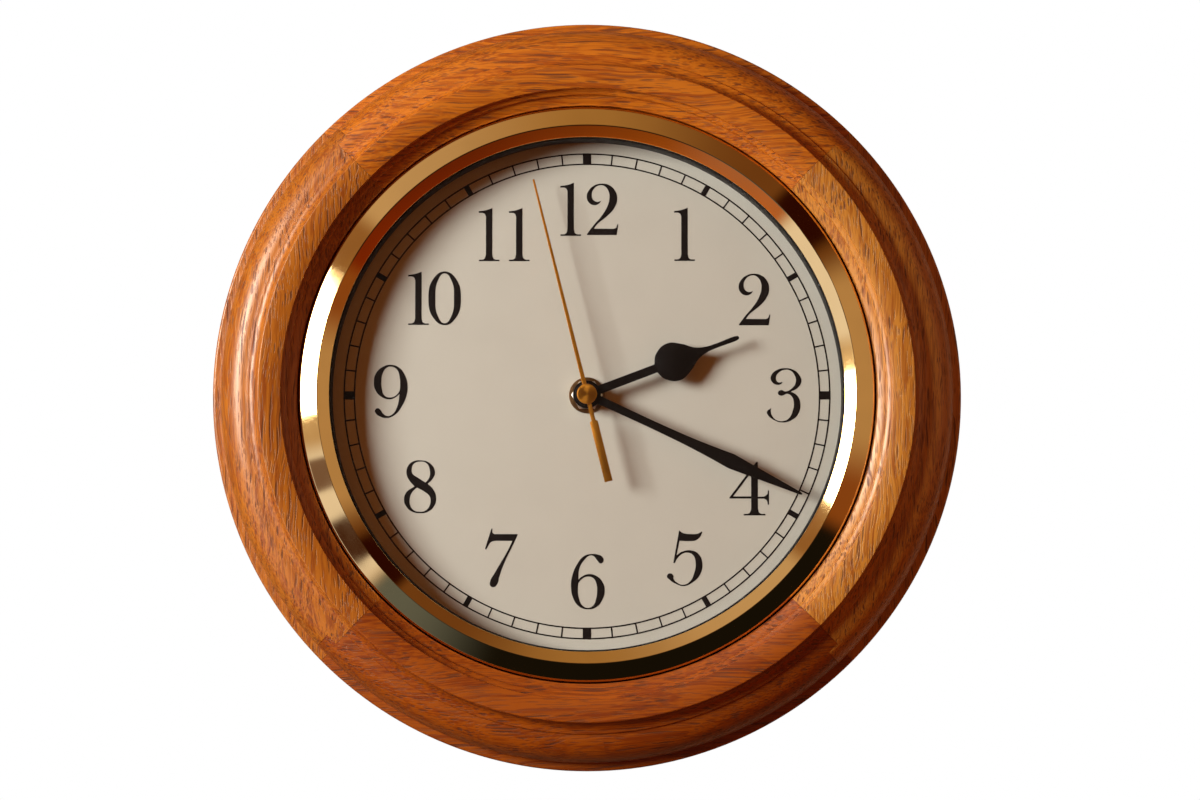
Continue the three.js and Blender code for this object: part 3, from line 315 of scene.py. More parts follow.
def arc(flat, steep, steps=MOULDING_STEPS):
    """Quarter ellipse that leaves flat along the radius and reaches steep along the depth."""
    points = []
    for step in range(steps + 1):
        angle = step / steps * math.pi / 2
        radius = flat[0] + (steep[0] - flat[0]) * math.sin(angle)
        depth = steep[1] + (flat[1] - steep[1]) * math.cos(angle)
        points.append((radius, depth))
    return points


def crown(start, end):
    """A slope from start to end that swells a little in the middle."""
    points = []
    for step in range(MOULDING_STEPS + 1):
        share = step / MOULDING_STEPS
        radius = start[0] + (end[0] - start[0]) * share
        depth = start[1] + (end[1] - start[1]) * share + 4 * ROUND_BULGE * share * (1 - share)
        points.append((radius, depth))
    return points


def outline_wire(bm, outline, closed):
    """The vertices and edges of an outline of (radius, depth) pairs, to the right of the hand axis."""
    verts = [bm.verts.new(spot(radius, depth, 0)) for radius, depth in outline]
    pairs = list(zip(verts, verts[1:]))
    if closed:
        pairs.append((verts[-1], verts[0]))
    return verts, [bm.edges.new(pair) for pair in pairs]


def clean(bm, weld=WELD):
    """Merges doubles and turns the faces outwards."""
    bmesh.ops.remove_doubles(bm, verts=bm.verts, dist=weld)
    bmesh.ops.recalc_face_normals(bm, faces=bm.faces)
    return bm


def turned(outline, steps=RING_STEPS):
    """A closed outline of (radius, depth) pairs, or one from axis to axis, turned about the hand axis."""
    bm = bmesh.new()
    closed = all(radius > 0 for radius, _ in outline)
    verts, edges = outline_wire(bm, outline, closed)
    bmesh.ops.spin(bm, geom=verts + edges, cent=HUB, axis=HAND_AXIS, dvec=(0, 0, 0), angle=2 * math.pi,
                   steps=steps, use_merge=True)
    return clean(bm)


def ring(inner, outer, back, front, steps=RING_STEPS):
    """A flat ring between two radii and two depths."""
    return turned([(inner, back), (outer, back), (outer, front), (inner, front)], steps)


def round_edges(bm, width, segments=2, sharp=SHARP_TURN, chosen=None):
    """Bevels the edges that turn sharply, or of those the ones that chosen accepts."""
    edges = [edge for edge in bm.edges if edge.is_manifold and edge.calc_face_angle() > sharp]
    if chosen:
        edges = [edge for edge in edges if chosen(edge)]
    bmesh.ops.bevel(bm, geom=edges, offset=width * MM, offset_type="OFFSET", segments=segments, profile=0.5,
                    affect="EDGES", clamp_overlap=True, material=-1)
    return bm


def moved(bm, matrix):
    bmesh.ops.transform(bm, matrix=matrix, verts=bm.verts)
    return bm


def about_hub(angle):
    """A turn about the hand axis, clockwise from the front."""
    return Matrix.Translation(HUB) @ Matrix.Rotation(angle, 4, "Y") @ Matrix.Translation(-HUB)


def block(low, high):
    """A box between two corners given as (x, depth, z)."""
    bm = bmesh.new()
    near, far = spot(*low), spot(*high)
    size = far - near
    bmesh.ops.create_cube(bm, size=1)
    scale = Matrix.Diagonal((*(abs(side) for side in size), 1))
    return moved(bm, Matrix.Translation((near + far) / 2) @ scale)


def joined(*parts):
    """Several bmeshes as one, with no welding."""
    mesh = bpy.data.meshes.new("joined")
    whole = bmesh.new()
    for part in parts:
        part.to_mesh(mesh)
        part.free()
        whole.from_mesh(mesh)
    bpy.data.meshes.remove(mesh)
    return whole


def new_mesh(name, bm):
    """A mesh made from a bmesh, which is freed."""
    mesh = bpy.data.meshes.new(name)
    bm.to_mesh(mesh)
    bm.free()
    return mesh


def new_object(name, data):
    obj = bpy.data.objects.new(name, data)
    bpy.context.scene.collection.objects.link(obj)
    return obj


def discard(obj):
    """Removes an object and its data."""
    data = obj.data
    bpy.data.objects.remove(obj)
    bpy.data.batch_remove([data])


def as_bmesh(obj):
    """The object's final mesh, with modifiers, as a bmesh. The object is removed."""
    depsgraph = bpy.context.evaluated_depsgraph_get()
    mesh = bpy.data.meshes.new_from_object(obj.evaluated_get(depsgraph))
    bm = bmesh.new()
    bm.from_mesh(mesh)
    bpy.data.meshes.remove(mesh)
    discard(obj)
    return bm


def carved(bm, *tools, operation="DIFFERENCE"):
    """The body with each tool cut away, joined to it or kept in common."""
    body = new_object("body", new_mesh("body", bm))
    cutters = [new_object("cutter", new_mesh("cutter", tool)) for tool in tools]
    for cutter in cutters:
        cut = body.modifiers.new("cut", "BOOLEAN")
        cut.operation = operation
        cut.solver = "EXACT"
        cut.object = cutter
    result = as_bmesh(body)
    for cutter in cutters:
        discard(cutter)
    return result


def flat_shape(outlines, back, front, soft=0.0, turn=0.0, resolution=10):
    """Closed outlines, seen from the front, filled and given thickness between two depths.

    A point is (x, y) where its outline is smooth and (x, y, "c") at a corner. An outline inside another is a
    hole.
    """
    curve = bpy.data.curves.new("outline", "CURVE")
    curve.dimensions = "2D"
    curve.fill_mode = "BOTH"
    curve.resolution_u = resolution
    curve.extrude = (front - back) / 2 - soft
    curve.bevel_depth = soft
    curve.bevel_resolution = 1
    curve.offset = -soft
    for outline in outlines:
        spline = curve.splines.new("BEZIER")
        spline.bezier_points.add(len(outline) - 1)
        spline.use_cyclic_u = True
        for point, (x, y, *corner) in zip(spline.bezier_points, outline):
            point.co = (x, y, 0)
            point.handle_left_type = "VECTOR" if corner else "AUTO"
            point.handle_right_type = point.handle_left_type
    bm = as_bmesh(new_object("outline", curve))
    middle = Matrix.Translation(spot(0, (back + front) / 2, 0))
    stand = Matrix.Rotation(math.pi / 2, 4, "X") @ Matrix.Scale(MM, 4)
    return clean(moved(bm, about_hub(turn) @ middle @ stand), 2 * WELD)


def round_points(x, y, radius, start=0, count=8):
    """Points an eighth of a turn apart on a circle, anticlockwise from a start angle in degrees."""
    angles = [math.radians(start + step * 45) for step in range(count)]
    return [(x + radius * math.cos(angle), y + radius * math.sin(angle)) for angle in angles]


def stadium(width, height, y, grow=0.0):
    """Outline with two straight sides and two round ends."""
    side = (width - height) / 2
    reach = height / 2 + grow
    return round_points(side, y, reach, -90, 5) + round_points(-side, y, reach, 90, 5)


def softened(part, width):
    """A copy of a CAD node's mesh with its flat faces joined up and its edges rounded."""
    bm = bmesh.new()
    bm.from_mesh(NODES[part].data)
    bmesh.ops.remove_doubles(bm, verts=bm.verts, dist=CAD_WELD)
    bmesh.ops.dissolve_limit(bm, angle_limit=FLAT_TURN, verts=bm.verts, edges=bm.edges)
    return round_edges(bm, width, sharp=CAD_TURN)


def piece(name, bm, body, slot, material, *nodes, sharp=SMOOTH_TURN):
    """Makes a mesh the finished piece of a body, standing for the CAD nodes that are named."""
    mesh = new_mesh(name, bm)
    mesh.shade_smooth()
    mesh.set_sharp_from_angle(angle=sharp)
    mesh.materials.append(material)
    obj = new_object(name, mesh)
    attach(obj, body)
    if nodes:
        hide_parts(*nodes)


def dress(material, *nodes):
    """Gives CAD nodes that stay as they are a better finish."""
    for name in nodes:
        mesh = NODES[name].data
        mesh.materials.clear()
        mesh.materials.append(material)


# Material helpers


def plug(tree, socket, value):
    """Links an output to an input, or sets the input to a value."""
    if isinstance(value, bpy.types.NodeSocket):
        tree.links.new(value, socket)
    else:
        socket.default_value = value


def node(tree, kind, inputs=None, **settings):
    """A shader node with its settings, and its inputs set or linked."""
    made = tree.nodes.new(kind)
    for key, value in settings.items():
        setattr(made, key, value)
    for key, value in (inputs or {}).items():
        plug(tree, made.inputs[key], value)
    return made


def calc(tree, operation, *values, clamp=False):
    made = node(tree, "ShaderNodeMath", dict(enumerate(values)), operation=operation, use_clamp=clamp)
    return made.outputs[0]


def vector(tree, operation, *values):
    made = node(tree, "ShaderNodeVectorMath", dict(enumerate(values)), operation=operation)
    return made.outputs["Value" if operation in ("LENGTH", "DOT_PRODUCT") else "Vector"]


def scaled(tree, coords, scale):
    made = node(tree, "ShaderNodeVectorMath", {0: coords, "Scale": scale}, operation="SCALE")
    return made.outputs["Vector"]


def noise(tree, coords, scale, detail=2.0, roughness=0.5, output="Fac"):
    inputs = {"Vector": coords, "Scale": scale, "Detail": detail, "Roughness": roughness}
    return node(tree, "ShaderNodeTexNoise", inputs).outputs[output]


def fade(tree, value, start, end, low=0.0, high=1.0):
    """Low before start and high after end, with a smooth step between them."""
    inputs = {"Value": value, "From Min": start, "From Max": end, "To Min": low, "To Max": high}
    return node(tree, "ShaderNodeMapRange", inputs, interpolation_type="SMOOTHSTEP").outputs["Result"]


def between(tree, value, rise, fall):
    """One between two fades, each given by where it starts and where it is full."""
    return calc(tree, "MULTIPLY", fade(tree, value, *rise), fade(tree, value, *fall))


def mix(tree, share, first, second):
    """A colour between two others, which are sockets or red, green and blue."""
    made = node(tree, "ShaderNodeMix", {"Factor": share}, data_type="RGBA")
    for socket, value in zip([s for s in made.inputs if s.type == "RGBA"], (first, second)):
        plug(tree, socket, value if isinstance(value, bpy.types.NodeSocket) else (*value, 1))
    return next(s for s in made.outputs if s.type == "RGBA")


def bump(tree, height, distance, strength=1.0):
    inputs = {"Height": height, "Distance": distance * MM, "Strength": strength}
    return node(tree, "ShaderNodeBump", inputs).outputs["Normal"]


def new_material(name):
    """A material, its node tree and its Principled shader."""
    material = bpy.data.materials.new(name)
    material.use_nodes = True
    tree = material.node_tree
    return material, tree, next(n for n in tree.nodes if n.type == "BSDF_PRINCIPLED")


def surface(name):
    """A new material with millimetre coordinates that are centred on the hand axis."""
    material, tree, shader = new_material(name)
    coords = node(tree, "ShaderNodeTexCoord").outputs["Object"]
    return material, tree, shader, scaled(tree, vector(tree, "SUBTRACT", coords, tuple(HUB)), 1 / MM)


SHADER_SOCKETS = {
    "colour": "Base Color", "roughness": "Roughness", "normal": "Normal", "metallic": "Metallic",
    "anisotropic": "Anisotropic", "tangent": "Tangent", "specular": "Specular IOR Level",
    "specular_tint": "Specular Tint", "coat": "Coat Weight", "coat_roughness": "Coat Roughness",
    "transmission": "Transmission Weight", "ior": "IOR", "alpha": "Alpha", "glow": "Emission Color",
    "glow_strength": "Emission Strength",
}


def set_shader(tree, shader, **values):
    for key, value in values.items():
        plug(tree, shader.inputs[SHADER_SOCKETS[key]], value)


def see_through(tree, share, shader):
    """Makes a share of a material's rays pass straight through, and gives the rest to a shader."""
    clear = node(tree, "ShaderNodeBsdfTransparent").outputs[0]
    both = node(tree, "ShaderNodeMixShader", {0: share, 1: shader.outputs[0], 2: clear}).outputs[0]
    output = next((n for n in tree.nodes if n.type == "OUTPUT_MATERIAL"), None)
    plug(tree, (output or node(tree, "ShaderNodeOutputMaterial")).inputs["Surface"], both)


# Shared effects

SOCKETS = {"vector": "NodeSocketVector", "value": "NodeSocketFloat", "colour": "NodeSocketColor"}


def effect(name, inputs, outputs):
    """A shader node group with named sockets: its tree, its inputs, and a function that sets its outputs."""
    tree = bpy.data.node_groups.new(name, "ShaderNodeTree")
    for in_out, sockets in (("INPUT", inputs), ("OUTPUT", outputs)):
        for label, kind in sockets.items():
            tree.interface.new_socket(label, in_out=in_out, socket_type=SOCKETS[kind])
    ends = node(tree, "NodeGroupOutput").inputs

    def put_out(label, value):
        tree.links.new(value, ends[label])

    return tree, node(tree, "NodeGroupInput").outputs, put_out


def stretched(tree, coords, size):
    """Coordinates in which a feature with a length along X and a width in millimetres is one unit."""
    along, across = size
    return vector(tree, "MULTIPLY", coords, (1 / along, 1 / across, 1 / across))


def waver(tree, coords, size, detail):
    """A soft noise vector that is zero on average."""
    wandering = noise(tree, stretched(tree, coords, size), 1.0, detail, output="Color")
    return vector(tree, "SUBTRACT", wandering, (0.5, 0.5, 0.5))


def dashes(tree, coords, size, outer, inner):
    """Dashes along X, one in each cell of a length and width in millimetres."""
    cells = node(tree, "ShaderNodeTexVoronoi", {"Vector": stretched(tree, coords, size), "Scale": 1.0})
    return fade(tree, cells.outputs["Distance"], outer, inner)


def make_oak_grain():
    """Growth rings about a pith, open pores and fibres, for coordinates whose X runs along the grain."""
    tree, inputs, put_out = effect(
        "oak_grain",
        {"Grain": "vector", "Pith": "vector", "Ring Width": "value", "Wave": "value", "Pale": "colour",
         "Deep": "colour", "Pore": "colour"},
        {"Colour": "colour", "Roughness": "value", "Height": "value"})
    grain = inputs["Grain"]
    sway = vector(tree, "MULTIPLY", waver(tree, grain, SWAY_SIZE, 2.0), (0, SWAY_REACH, SWAY_REACH))
    curl = vector(tree, "MULTIPLY", waver(tree, grain, CURL_SIZE, 1.0), (0, 1, 1))
    wood = vector(tree, "ADD", grain, sway)
    wood = vector(tree, "ADD", wood, scaled(tree, curl, inputs["Wave"]))
    across = vector(tree, "MULTIPLY", vector(tree, "SUBTRACT", wood, inputs["Pith"]), (0, 1, 1))
    year = calc(tree, "FRACT", calc(tree, "DIVIDE", vector(tree, "LENGTH", across), inputs["Ring Width"]))
    early = calc(tree, "SUBTRACT", 1.0, fade(tree, year, 0.3, 0.7))
    pores = dashes(tree, wood, PORE_SIZE, 0.36, 0.22)
    pores = calc(tree, "MULTIPLY", pores, calc(tree, "MULTIPLY_ADD", early, 0.6, 0.4))
    specks = calc(tree, "MULTIPLY", dashes(tree, wood, SPECK_SIZE, 0.36, 0.2), 0.55)
    rays = calc(tree, "MULTIPLY", dashes(tree, wood, RAY_SIZE, 0.17, 0.09), 0.9)
    open_grain = calc(tree, "MAXIMUM", calc(tree, "MAXIMUM", pores, specks), rays)
    fibres = noise(tree, stretched(tree, wood, FIBRE_SIZE), 1.0, 3.0, 0.6)
    streaks = noise(tree, stretched(tree, wood, STREAK_SIZE), 1.0, 2.0, 0.6)
    tone = noise(tree, stretched(tree, grain, TONE_SIZE), 1.0, 1.0)
    shade = calc(tree, "MULTIPLY_ADD", early, 0.3, fade(tree, fibres, 0.38, 0.64, -0.4, 0.55))
    shade = calc(tree, "ADD", shade, fade(tree, streaks, 0.34, 0.66, -0.22, 0.36))
    shade = calc(tree, "ADD", shade, fade(tree, tone, 0.3, 0.7, -0.15, 0.25), clamp=True)
    body = mix(tree, shade, inputs["Pale"], inputs["Deep"])
    put_out("Colour", mix(tree, calc(tree, "MULTIPLY", open_grain, 0.85), body, inputs["Pore"]))
    gloss = calc(tree, "MULTIPLY_ADD", fibres, 0.14, 0.3)
    put_out("Roughness", calc(tree, "MULTIPLY_ADD", open_grain, 0.35, gloss))
    put_out("Height", calc(tree, "MULTIPLY_ADD", fibres, 0.35, calc(tree, "MULTIPLY", open_grain, -1.0)))


def make_turned_lines():
    """Fine rings left by a lathe around the hand axis, and faint smudges."""
    tree, inputs, put_out = effect(
        "turned_lines", {"Vector": "vector", "Fineness": "value", "Roughness": "value"},
        {"Roughness": "value", "Height": "value"})
    radius = vector(tree, "LENGTH", vector(tree, "MULTIPLY", inputs["Vector"], (1, 0, 1)))
    place = calc(tree, "MULTIPLY", radius, inputs["Fineness"])
    lines = node(tree, "ShaderNodeTexNoise", {"W": place, "Scale": 1.0, "Detail": 3.0}, noise_dimensions="1D")
    smudge = noise(tree, inputs["Vector"], 0.06, 3.0)
    spread = fade(tree, smudge, 0.4, 0.75, 0.0, 0.035)
    put_out("Roughness", calc(tree, "ADD", inputs["Roughness"], spread))
    put_out("Height", lines.outputs["Fac"])


def make_fine_grain():
    """The fine matt texture of moulded plastic, paint or paper, with a slight change of tone."""
    tree, inputs, put_out = effect(
        "fine_grain",
        {"Vector": "vector", "Grain": "value", "Colour": "colour", "Shade": "colour", "Roughness": "value"},
        {"Colour": "colour", "Roughness": "value", "Height": "value"})
    speck = noise(tree, inputs["Vector"], inputs["Grain"], 2.0)
    cloud = noise(tree, inputs["Vector"], 0.05, 3.0)
    share = calc(tree, "MULTIPLY_ADD", fade(tree, cloud, 0.3, 0.7), 0.6, calc(tree, "MULTIPLY", speck, 0.4))
    put_out("Colour", mix(tree, share, inputs["Colour"], inputs["Shade"]))
    put_out("Roughness", calc(tree, "MULTIPLY_ADD", speck, 0.12, inputs["Roughness"]))
    put_out("Height", speck)


EFFECTS = {"oak_grain": make_oak_grain, "turned_lines": make_turned_lines, "fine_grain": make_fine_grain}


def use(tree, name, inputs):
    """The outputs of a shared effect, which is built when a material first needs it."""
    if name not in bpy.data.node_groups:
        EFFECTS[name]()
    return node(tree, "ShaderNodeGroup", inputs, node_tree=bpy.data.node_groups[name]).outputs


# Materials


def tinted(colour, tone):
    return (*(part * share for part, share in zip(colour, tone)), 1)


def oak(name, turn, shift, pith, tone, wave):
    """Oak whose grain lies at an angle from the left-right line; shift picks the stretch of the timber."""
    material, tree, shader, coords = surface(name)
    settings = bpy.context.scene.wall_clock.oak
    placed = node(tree, "ShaderNodeMapping", {"Vector": coords, "Location": shift, "Rotation": (0, turn, 0)},
                  vector_type="POINT").outputs["Vector"]
    grain = use(tree, "oak_grain", {
        "Grain": placed, "Pith": pith, "Ring Width": settings.ring_width / MM, "Wave": wave,
        "Pale": tinted(settings.pale, tone), "Deep": tinted(settings.deep, tone),
        "Pore": tinted(settings.pore, tone)})
    set_shader(tree, shader, colour=grain["Colour"], roughness=grain["Roughness"],
               normal=bump(tree, grain["Height"], 0.24, 0.55), coat=0.32, coat_roughness=0.32, specular=0.62,
               specular_tint=VARNISH_TINT)
    return material


def brass(name, colour, roughness, fineness=6.0, relief=0.004, anisotropic=0.0):
    """Turned metal; where it is anisotropic, its lights run out from the hand axis."""
    material, tree, shader, coords = surface(name)
    lines = use(tree, "turned_lines", {"Vector": coords, "Fineness": fineness, "Roughness": roughness})
    tarnish = [0.93 * share for share in colour]
    tint = mix(tree, fade(tree, noise(tree, coords, 0.04), 0.3, 0.7), colour, tarnish)
    set_shader(tree, shader, colour=tint, roughness=lines["Roughness"], metallic=1.0, anisotropic=anisotropic,
               normal=bump(tree, lines["Height"], relief))
    if anisotropic:
        tangent = node(tree, "ShaderNodeTangent", direction_type="RADIAL", axis="Y")
        set_shader(tree, shader, tangent=tangent.outputs["Tangent"])
    return material


def matt(name, colour, shade, roughness, grain=3.0, relief=0.01, metallic=0.0, specular=0.5):
    """A plain finish whose colour strays to a shade."""
    material, tree, shader, coords = surface(name)
    fine = use(tree, "fine_grain", {"Vector": coords, "Grain": grain, "Colour": (*colour, 1),
                                    "Shade": (*shade, 1), "Roughness": roughness})
    set_shader(tree, shader, colour=fine["Colour"], roughness=fine["Roughness"], metallic=metallic,
               specular=specular, normal=bump(tree, fine["Height"], relief))
    return material


def zinc_plate():
    """Plated steel of the screws and the hanger, made once."""
    return bpy.data.materials.get("zinc_plate") or matt(
        "zinc_plate", (0.58, 0.57, 0.53), (0.66, 0.66, 0.64), roughness=0.28, grain=2.5, relief=0.003,
        metallic=1.0)


def acetal():
    """White plastic of the knob and the wheels, made once."""
    return bpy.data.materials.get("acetal") or matt(
        "acetal", (0.78, 0.76, 0.7), (0.7, 0.68, 0.62), roughness=0.4, relief=0.004)


def contact_nickel():
    """Bright metal of the contacts and the works, made once."""
    return bpy.data.materials.get("contact_nickel") or matt(
        "contact_nickel", (0.62, 0.6, 0.56), (0.7, 0.69, 0.66), roughness=0.24, relief=0.002, metallic=1.0)


def clear_glass():
    """Clear pane that lets lamp light through to the dial."""
    material, tree, shader, coords = surface("clear_glass")
    smears = fade(tree, noise(tree, coords, 0.03, 4.0), 0.45, 0.8)
    pane = mix(tree, smears, (0.99, 1.0, 0.995), (0.97, 0.975, 0.97))
    set_shader(tree, shader, colour=pane, transmission=1.0, ior=1.45, roughness=0.0)
    path = node(tree, "ShaderNodeLightPath").outputs
    see_through(tree, calc(tree, "MAXIMUM", path["Is Shadow Ray"], path["Is Diffuse Ray"]), shader)
    return material


def hardboard():
    """Brown pressed board with the mesh print of its rough side."""
    material, tree, shader, coords = surface("hardboard")
    fine = use(tree, "fine_grain", {"Vector": coords, "Grain": 1.4, "Colour": (0.2, 0.1, 0.045, 1),
                                    "Shade": (0.12, 0.055, 0.024, 1), "Roughness": 0.7})
    waves = [node(tree, "ShaderNodeTexWave", {"Vector": coords, "Scale": 0.35, "Distortion": 0.6},
                  bands_direction=axis).outputs["Fac"] for axis in ("X", "Z")]
    height = calc(tree, "MULTIPLY_ADD", calc(tree, "MULTIPLY", *waves), 0.8, fine["Height"])
    set_shader(tree, shader, colour=fine["Colour"], roughness=fine["Roughness"],
               normal=bump(tree, height, 0.12))
    return material


def cell_wrap(half):
    """Dark wrap with a pale band near one end, and bare metal at both ends of a cell of a half length."""
    material, tree, shader, coords = surface("cell_wrap")
    along = node(tree, "ShaderNodeSeparateXYZ", {0: coords}).outputs[0]
    band = fade(tree, along, half - CELL_BAND[0], half - CELL_BAND[1])
    ends = fade(tree, calc(tree, "ABSOLUTE", along), half - CELL_END[0], half - CELL_END[1])
    fine = use(tree, "fine_grain", {"Vector": coords, "Grain": 2.0, "Colour": (0.03, 0.045, 0.055, 1),
                                    "Shade": (0.04, 0.055, 0.065, 1), "Roughness": 0.25})
    wrap = mix(tree, band, fine["Colour"], (0.55, 0.56, 0.56))
    bare = calc(tree, "MAXIMUM", ends, calc(tree, "MULTIPLY", band, 0.6))
    set_shader(tree, shader, colour=mix(tree, ends, wrap, (0.68, 0.67, 0.64)), roughness=fine["Roughness"],
               metallic=bare)
    return material


# Numerals: outlines as shares of a digit's height, from the middle of its foot line

DIGITS = {
    "0": [[(0, 1), (.205, .87), (.301, .5), (.205, .13), (0, 0), (-.205, .13), (-.301, .5), (-.205, .87)],
          [(0, .963), (.125, .83), (.172, .5), (.125, .17), (0, .036), (-.125, .17), (-.172, .5),
           (-.125, .83)]],
    "1": [[(.06, 1, "c"), (.06, .12, "c"), (.09, .045), (.195, .027, "c"), (.195, 0, "c"), (-.19, 0, "c"),
           (-.19, .027, "c"), (-.09, .045), (-.06, .12, "c"), (-.06, .84, "c"), (-.09, .895),
           (-.195, .91, "c"), (-.195, .94, "c"), (-.07, .957)]],
    "2": [[(-.295, 0, "c"), (-.295, .02, "c"), (-.15, .21), (-.02, .36), (.1, .56), (.14, .715),
           (.125, .845), (.05, .945), (-.05, .965), (-.165, .893), (-.203, .78), (-.178, .69),
           (-.1, .645), (-.02, .665, "c"), (-.065, .607), (-.165, .58), (-.265, .64), (-.3, .754),
           (-.265, .857), (-.165, .957), (0, 1), (.14, .967), (.245, .868), (.29, .703), (.23, .52),
           (.1, .373), (-.09, .215), (-.16, .124, "c"), (.225, .122, "c"), (.265, .14), (.29, .205, "c"),
           (.312, .21, "c"), (.28, 0, "c")]],
    "3": [[(.02, 1), (.18, .965), (.275, .88), (.318, .76), (.24, .63), (.125, .57, "c"), (.24, .495),
           (.296, .35), (.255, .157), (.14, .048), (-.04, .003), (-.21, .06), (-.305, .15), (-.318, .195),
           (-.235, .27, "c"), (-.245, .2), (-.205, .1), (-.125, .04), (-.02, .028), (.09, .085),
           (.16, .23), (.177, .35), (.14, .48), (.055, .528), (0, .508), (-.055, .494), (-.115, .54),
           (-.055, .598), (.02, .572), (.14, .627), (.212, .735), (.2, .855), (.125, .95), (.02, .97),
           (-.1, .916), (-.15, .83), (-.115, .745), (-.025, .745, "c"), (-.055, .71), (-.125, .693),
           (-.22, .745), (-.247, .81), (-.215, .9), (-.11, .976)]],
    "4": [[(.156, 1, "c"), (.156, .35, "c"), (.27, .352, "c"), (.325, .39), (.345, .469, "c"),
           (.363, .469, "c"), (.363, .2, "c"), (.34, .2, "c"), (.32, .28), (.27, .313, "c"),
           (.156, .315, "c"), (.156, .12, "c"), (.19, .045), (.296, .028, "c"), (.296, 0, "c"),
           (-.11, 0, "c"), (-.11, .028, "c"), (-.005, .045), (.03, .12, "c"), (.03, .315, "c"),
           (-.375, .315, "c"), (-.375, .335, "c"), (.128, 1, "c")],
          [(-.305, .355, "c"), (.03, .355, "c"), (.03, .8, "c")]],
    "5": [[(-.095, 1, "c"), (-.03, .955), (.118, .935), (.24, .942), (.31, .98, "c"), (.32, .965, "c"),
           (.285, .89), (.2, .82), (.118, .808), (-.088, .815, "c"), (-.14, .555, "c"), (-.05, .615),
           (.115, .642), (.25, .58), (.32, .415), (.275, .2), (.165, .083), (0, .003), (-.165, .047),
           (-.265, .115), (-.315, .178), (-.26, .232), (-.2, .19), (-.195, .13), (-.14, .07),
           (-.02, .027), (.095, .083), (.178, .25), (.2, .415), (.155, .555), (.07, .6), (-.025, .585),
           (-.13, .495), (-.172, .415, "c"), (-.2, .42, "c")]],
    "6": [[(.08, .993), (.187, .98), (.26, .943), (.285, .87), (.232, .822), (.168, .88), (.113, .947),
           (.05, .965), (-.065, .88), (-.148, .735), (-.168, .535, "c"), (-.115, .58), (.02, .633),
           (.176, .587), (.27, .482), (.304, .356), (.27, .19), (.155, .042), (0, .002), (-.14, .042),
           (-.255, .19), (-.3, .42), (-.275, .61), (-.19, .807), (-.065, .955)],
          [(.01, .587), (.103, .556), (.155, .46), (.168, .356), (.15, .19), (.092, .065), (0, .029),
           (-.096, .073), (-.16, .21), (-.176, .356), (-.168, .468, "c"), (-.096, .55)]],
    "7": [[(-.165, 1, "c"), (-.147, 1, "c"), (-.145, .93), (-.115, .905, "c"), (.282, .905, "c"),
           (.282, .885, "c"), (.175, .66), (.095, .5), (.02, .32), (-.03, .17), (-.06, .06), (-.12, 0),
           (-.18, .02), (-.19, .08), (-.105, .245), (0, .425), (.105, .607), (.194, .79, "c"),
           (-.1, .79, "c"), (-.175, .765), (-.215, .71), (-.252, .64, "c"), (-.275, .65, "c")]],
    "8": [[(.01, 1), (.177, .955), (.287, .78), (.24, .645), (.15, .555, "c"), (.255, .45), (.311, .285),
           (.265, .12), (.132, .015), (0, -.003), (-.155, .03), (-.265, .14), (-.298, .24), (-.26, .385),
           (-.1, .505, "c"), (-.21, .637), (-.254, .77), (-.205, .92), (-.1, .988)],
          [(.01, .975), (.135, .935), (.19, .8), (.178, .67), (.11, .577, "c"), (-.035, .67), (-.14, .75),
           (-.155, .826), (-.12, .925)],
          [(-.055, .483, "c"), (.088, .405), (.187, .318), (.205, .23), (.177, .12), (.1, .043),
           (0, .026), (-.11, .053), (-.177, .14), (-.192, .25), (-.15, .385)]],
    "9": [[(.015, .995), (.167, .935), (.275, .78), (.318, .595), (.297, .42), (.21, .215), (.08, .054),
           (-.06, -.002), (-.19, .022), (-.275, .085), (-.293, .135), (-.24, .182), (-.18, .14),
           (-.145, .087), (-.06, .037), (.037, .071), (.123, .206), (.168, .45, "c"), (.1, .39),
           (-.017, .346), (-.18, .4), (-.285, .52), (-.314, .66), (-.277, .833), (-.136, .963)],
          [(.004, .96), (.113, .91), (.17, .75), (.177, .606), (.17, .51, "c"), (.1, .422), (-.017, .383),
           (-.115, .422), (-.165, .55), (-.175, .682), (-.147, .844), (-.07, .942)]],
}
DIGIT_GROWTH = {"2": 0.97, "3": 1.02, "5": 1.04, "6": 1.04, "7": 1.09, "8": 0.985, "0": 1.01}
# Each numeral: its middle, and its digits with their places left or right of that, in millimetres
NUMERALS = (
    (0.6, 76.2, (("1", -7.3), ("2", 5.6))),
    (39.8, 65.9, (("1", 0),)),
    (68.2, 39.2, (("2", 0),)),
    (80.3, 0, (("3", 0),)),
    (66.1, -38, (("4", 0),)),
    (39.6, -66.3, (("5", 0),)),
    (0.3, -75.7, (("6", 0),)),
    (-34.9, -66.1, (("7", 0),)),
    (-68, -37.2, (("8", 0),)),
    (-80, 1.7, (("9", 0),)),
    (-62.2, 39.7, (("1", -6.6), ("0", 4.1))),
    (-33.8, 65.8, (("1", -6.2), ("1", 6.1))),
)


# Settings


class OakSettings(bpy.types.PropertyGroup):
    """Colours and grain of the oak ring."""

    pale: bpy.props.FloatVectorProperty(
        name="Pale", description="Varnished oak between the pores", subtype="COLOR",
        default=(0.58, 0.187, 0.013), min=0, max=1)
    deep: bpy.props.FloatVectorProperty(
        name="Deep", description="Darker wood of the growth rings", subtype="COLOR",
        default=(0.34, 0.076, 0.003), min=0, max=1)
    pore: bpy.props.FloatVectorProperty(
        name="Pore", description="Stain that has settled in the open pores", subtype="COLOR",
        default=(0.115, 0.026, 0.0025), min=0, max=1)
    ring_width: bpy.props.FloatProperty(
        name="Ring Width", description="Width of one year's growth", unit="LENGTH", default=0.0031,
        min=0.0005)


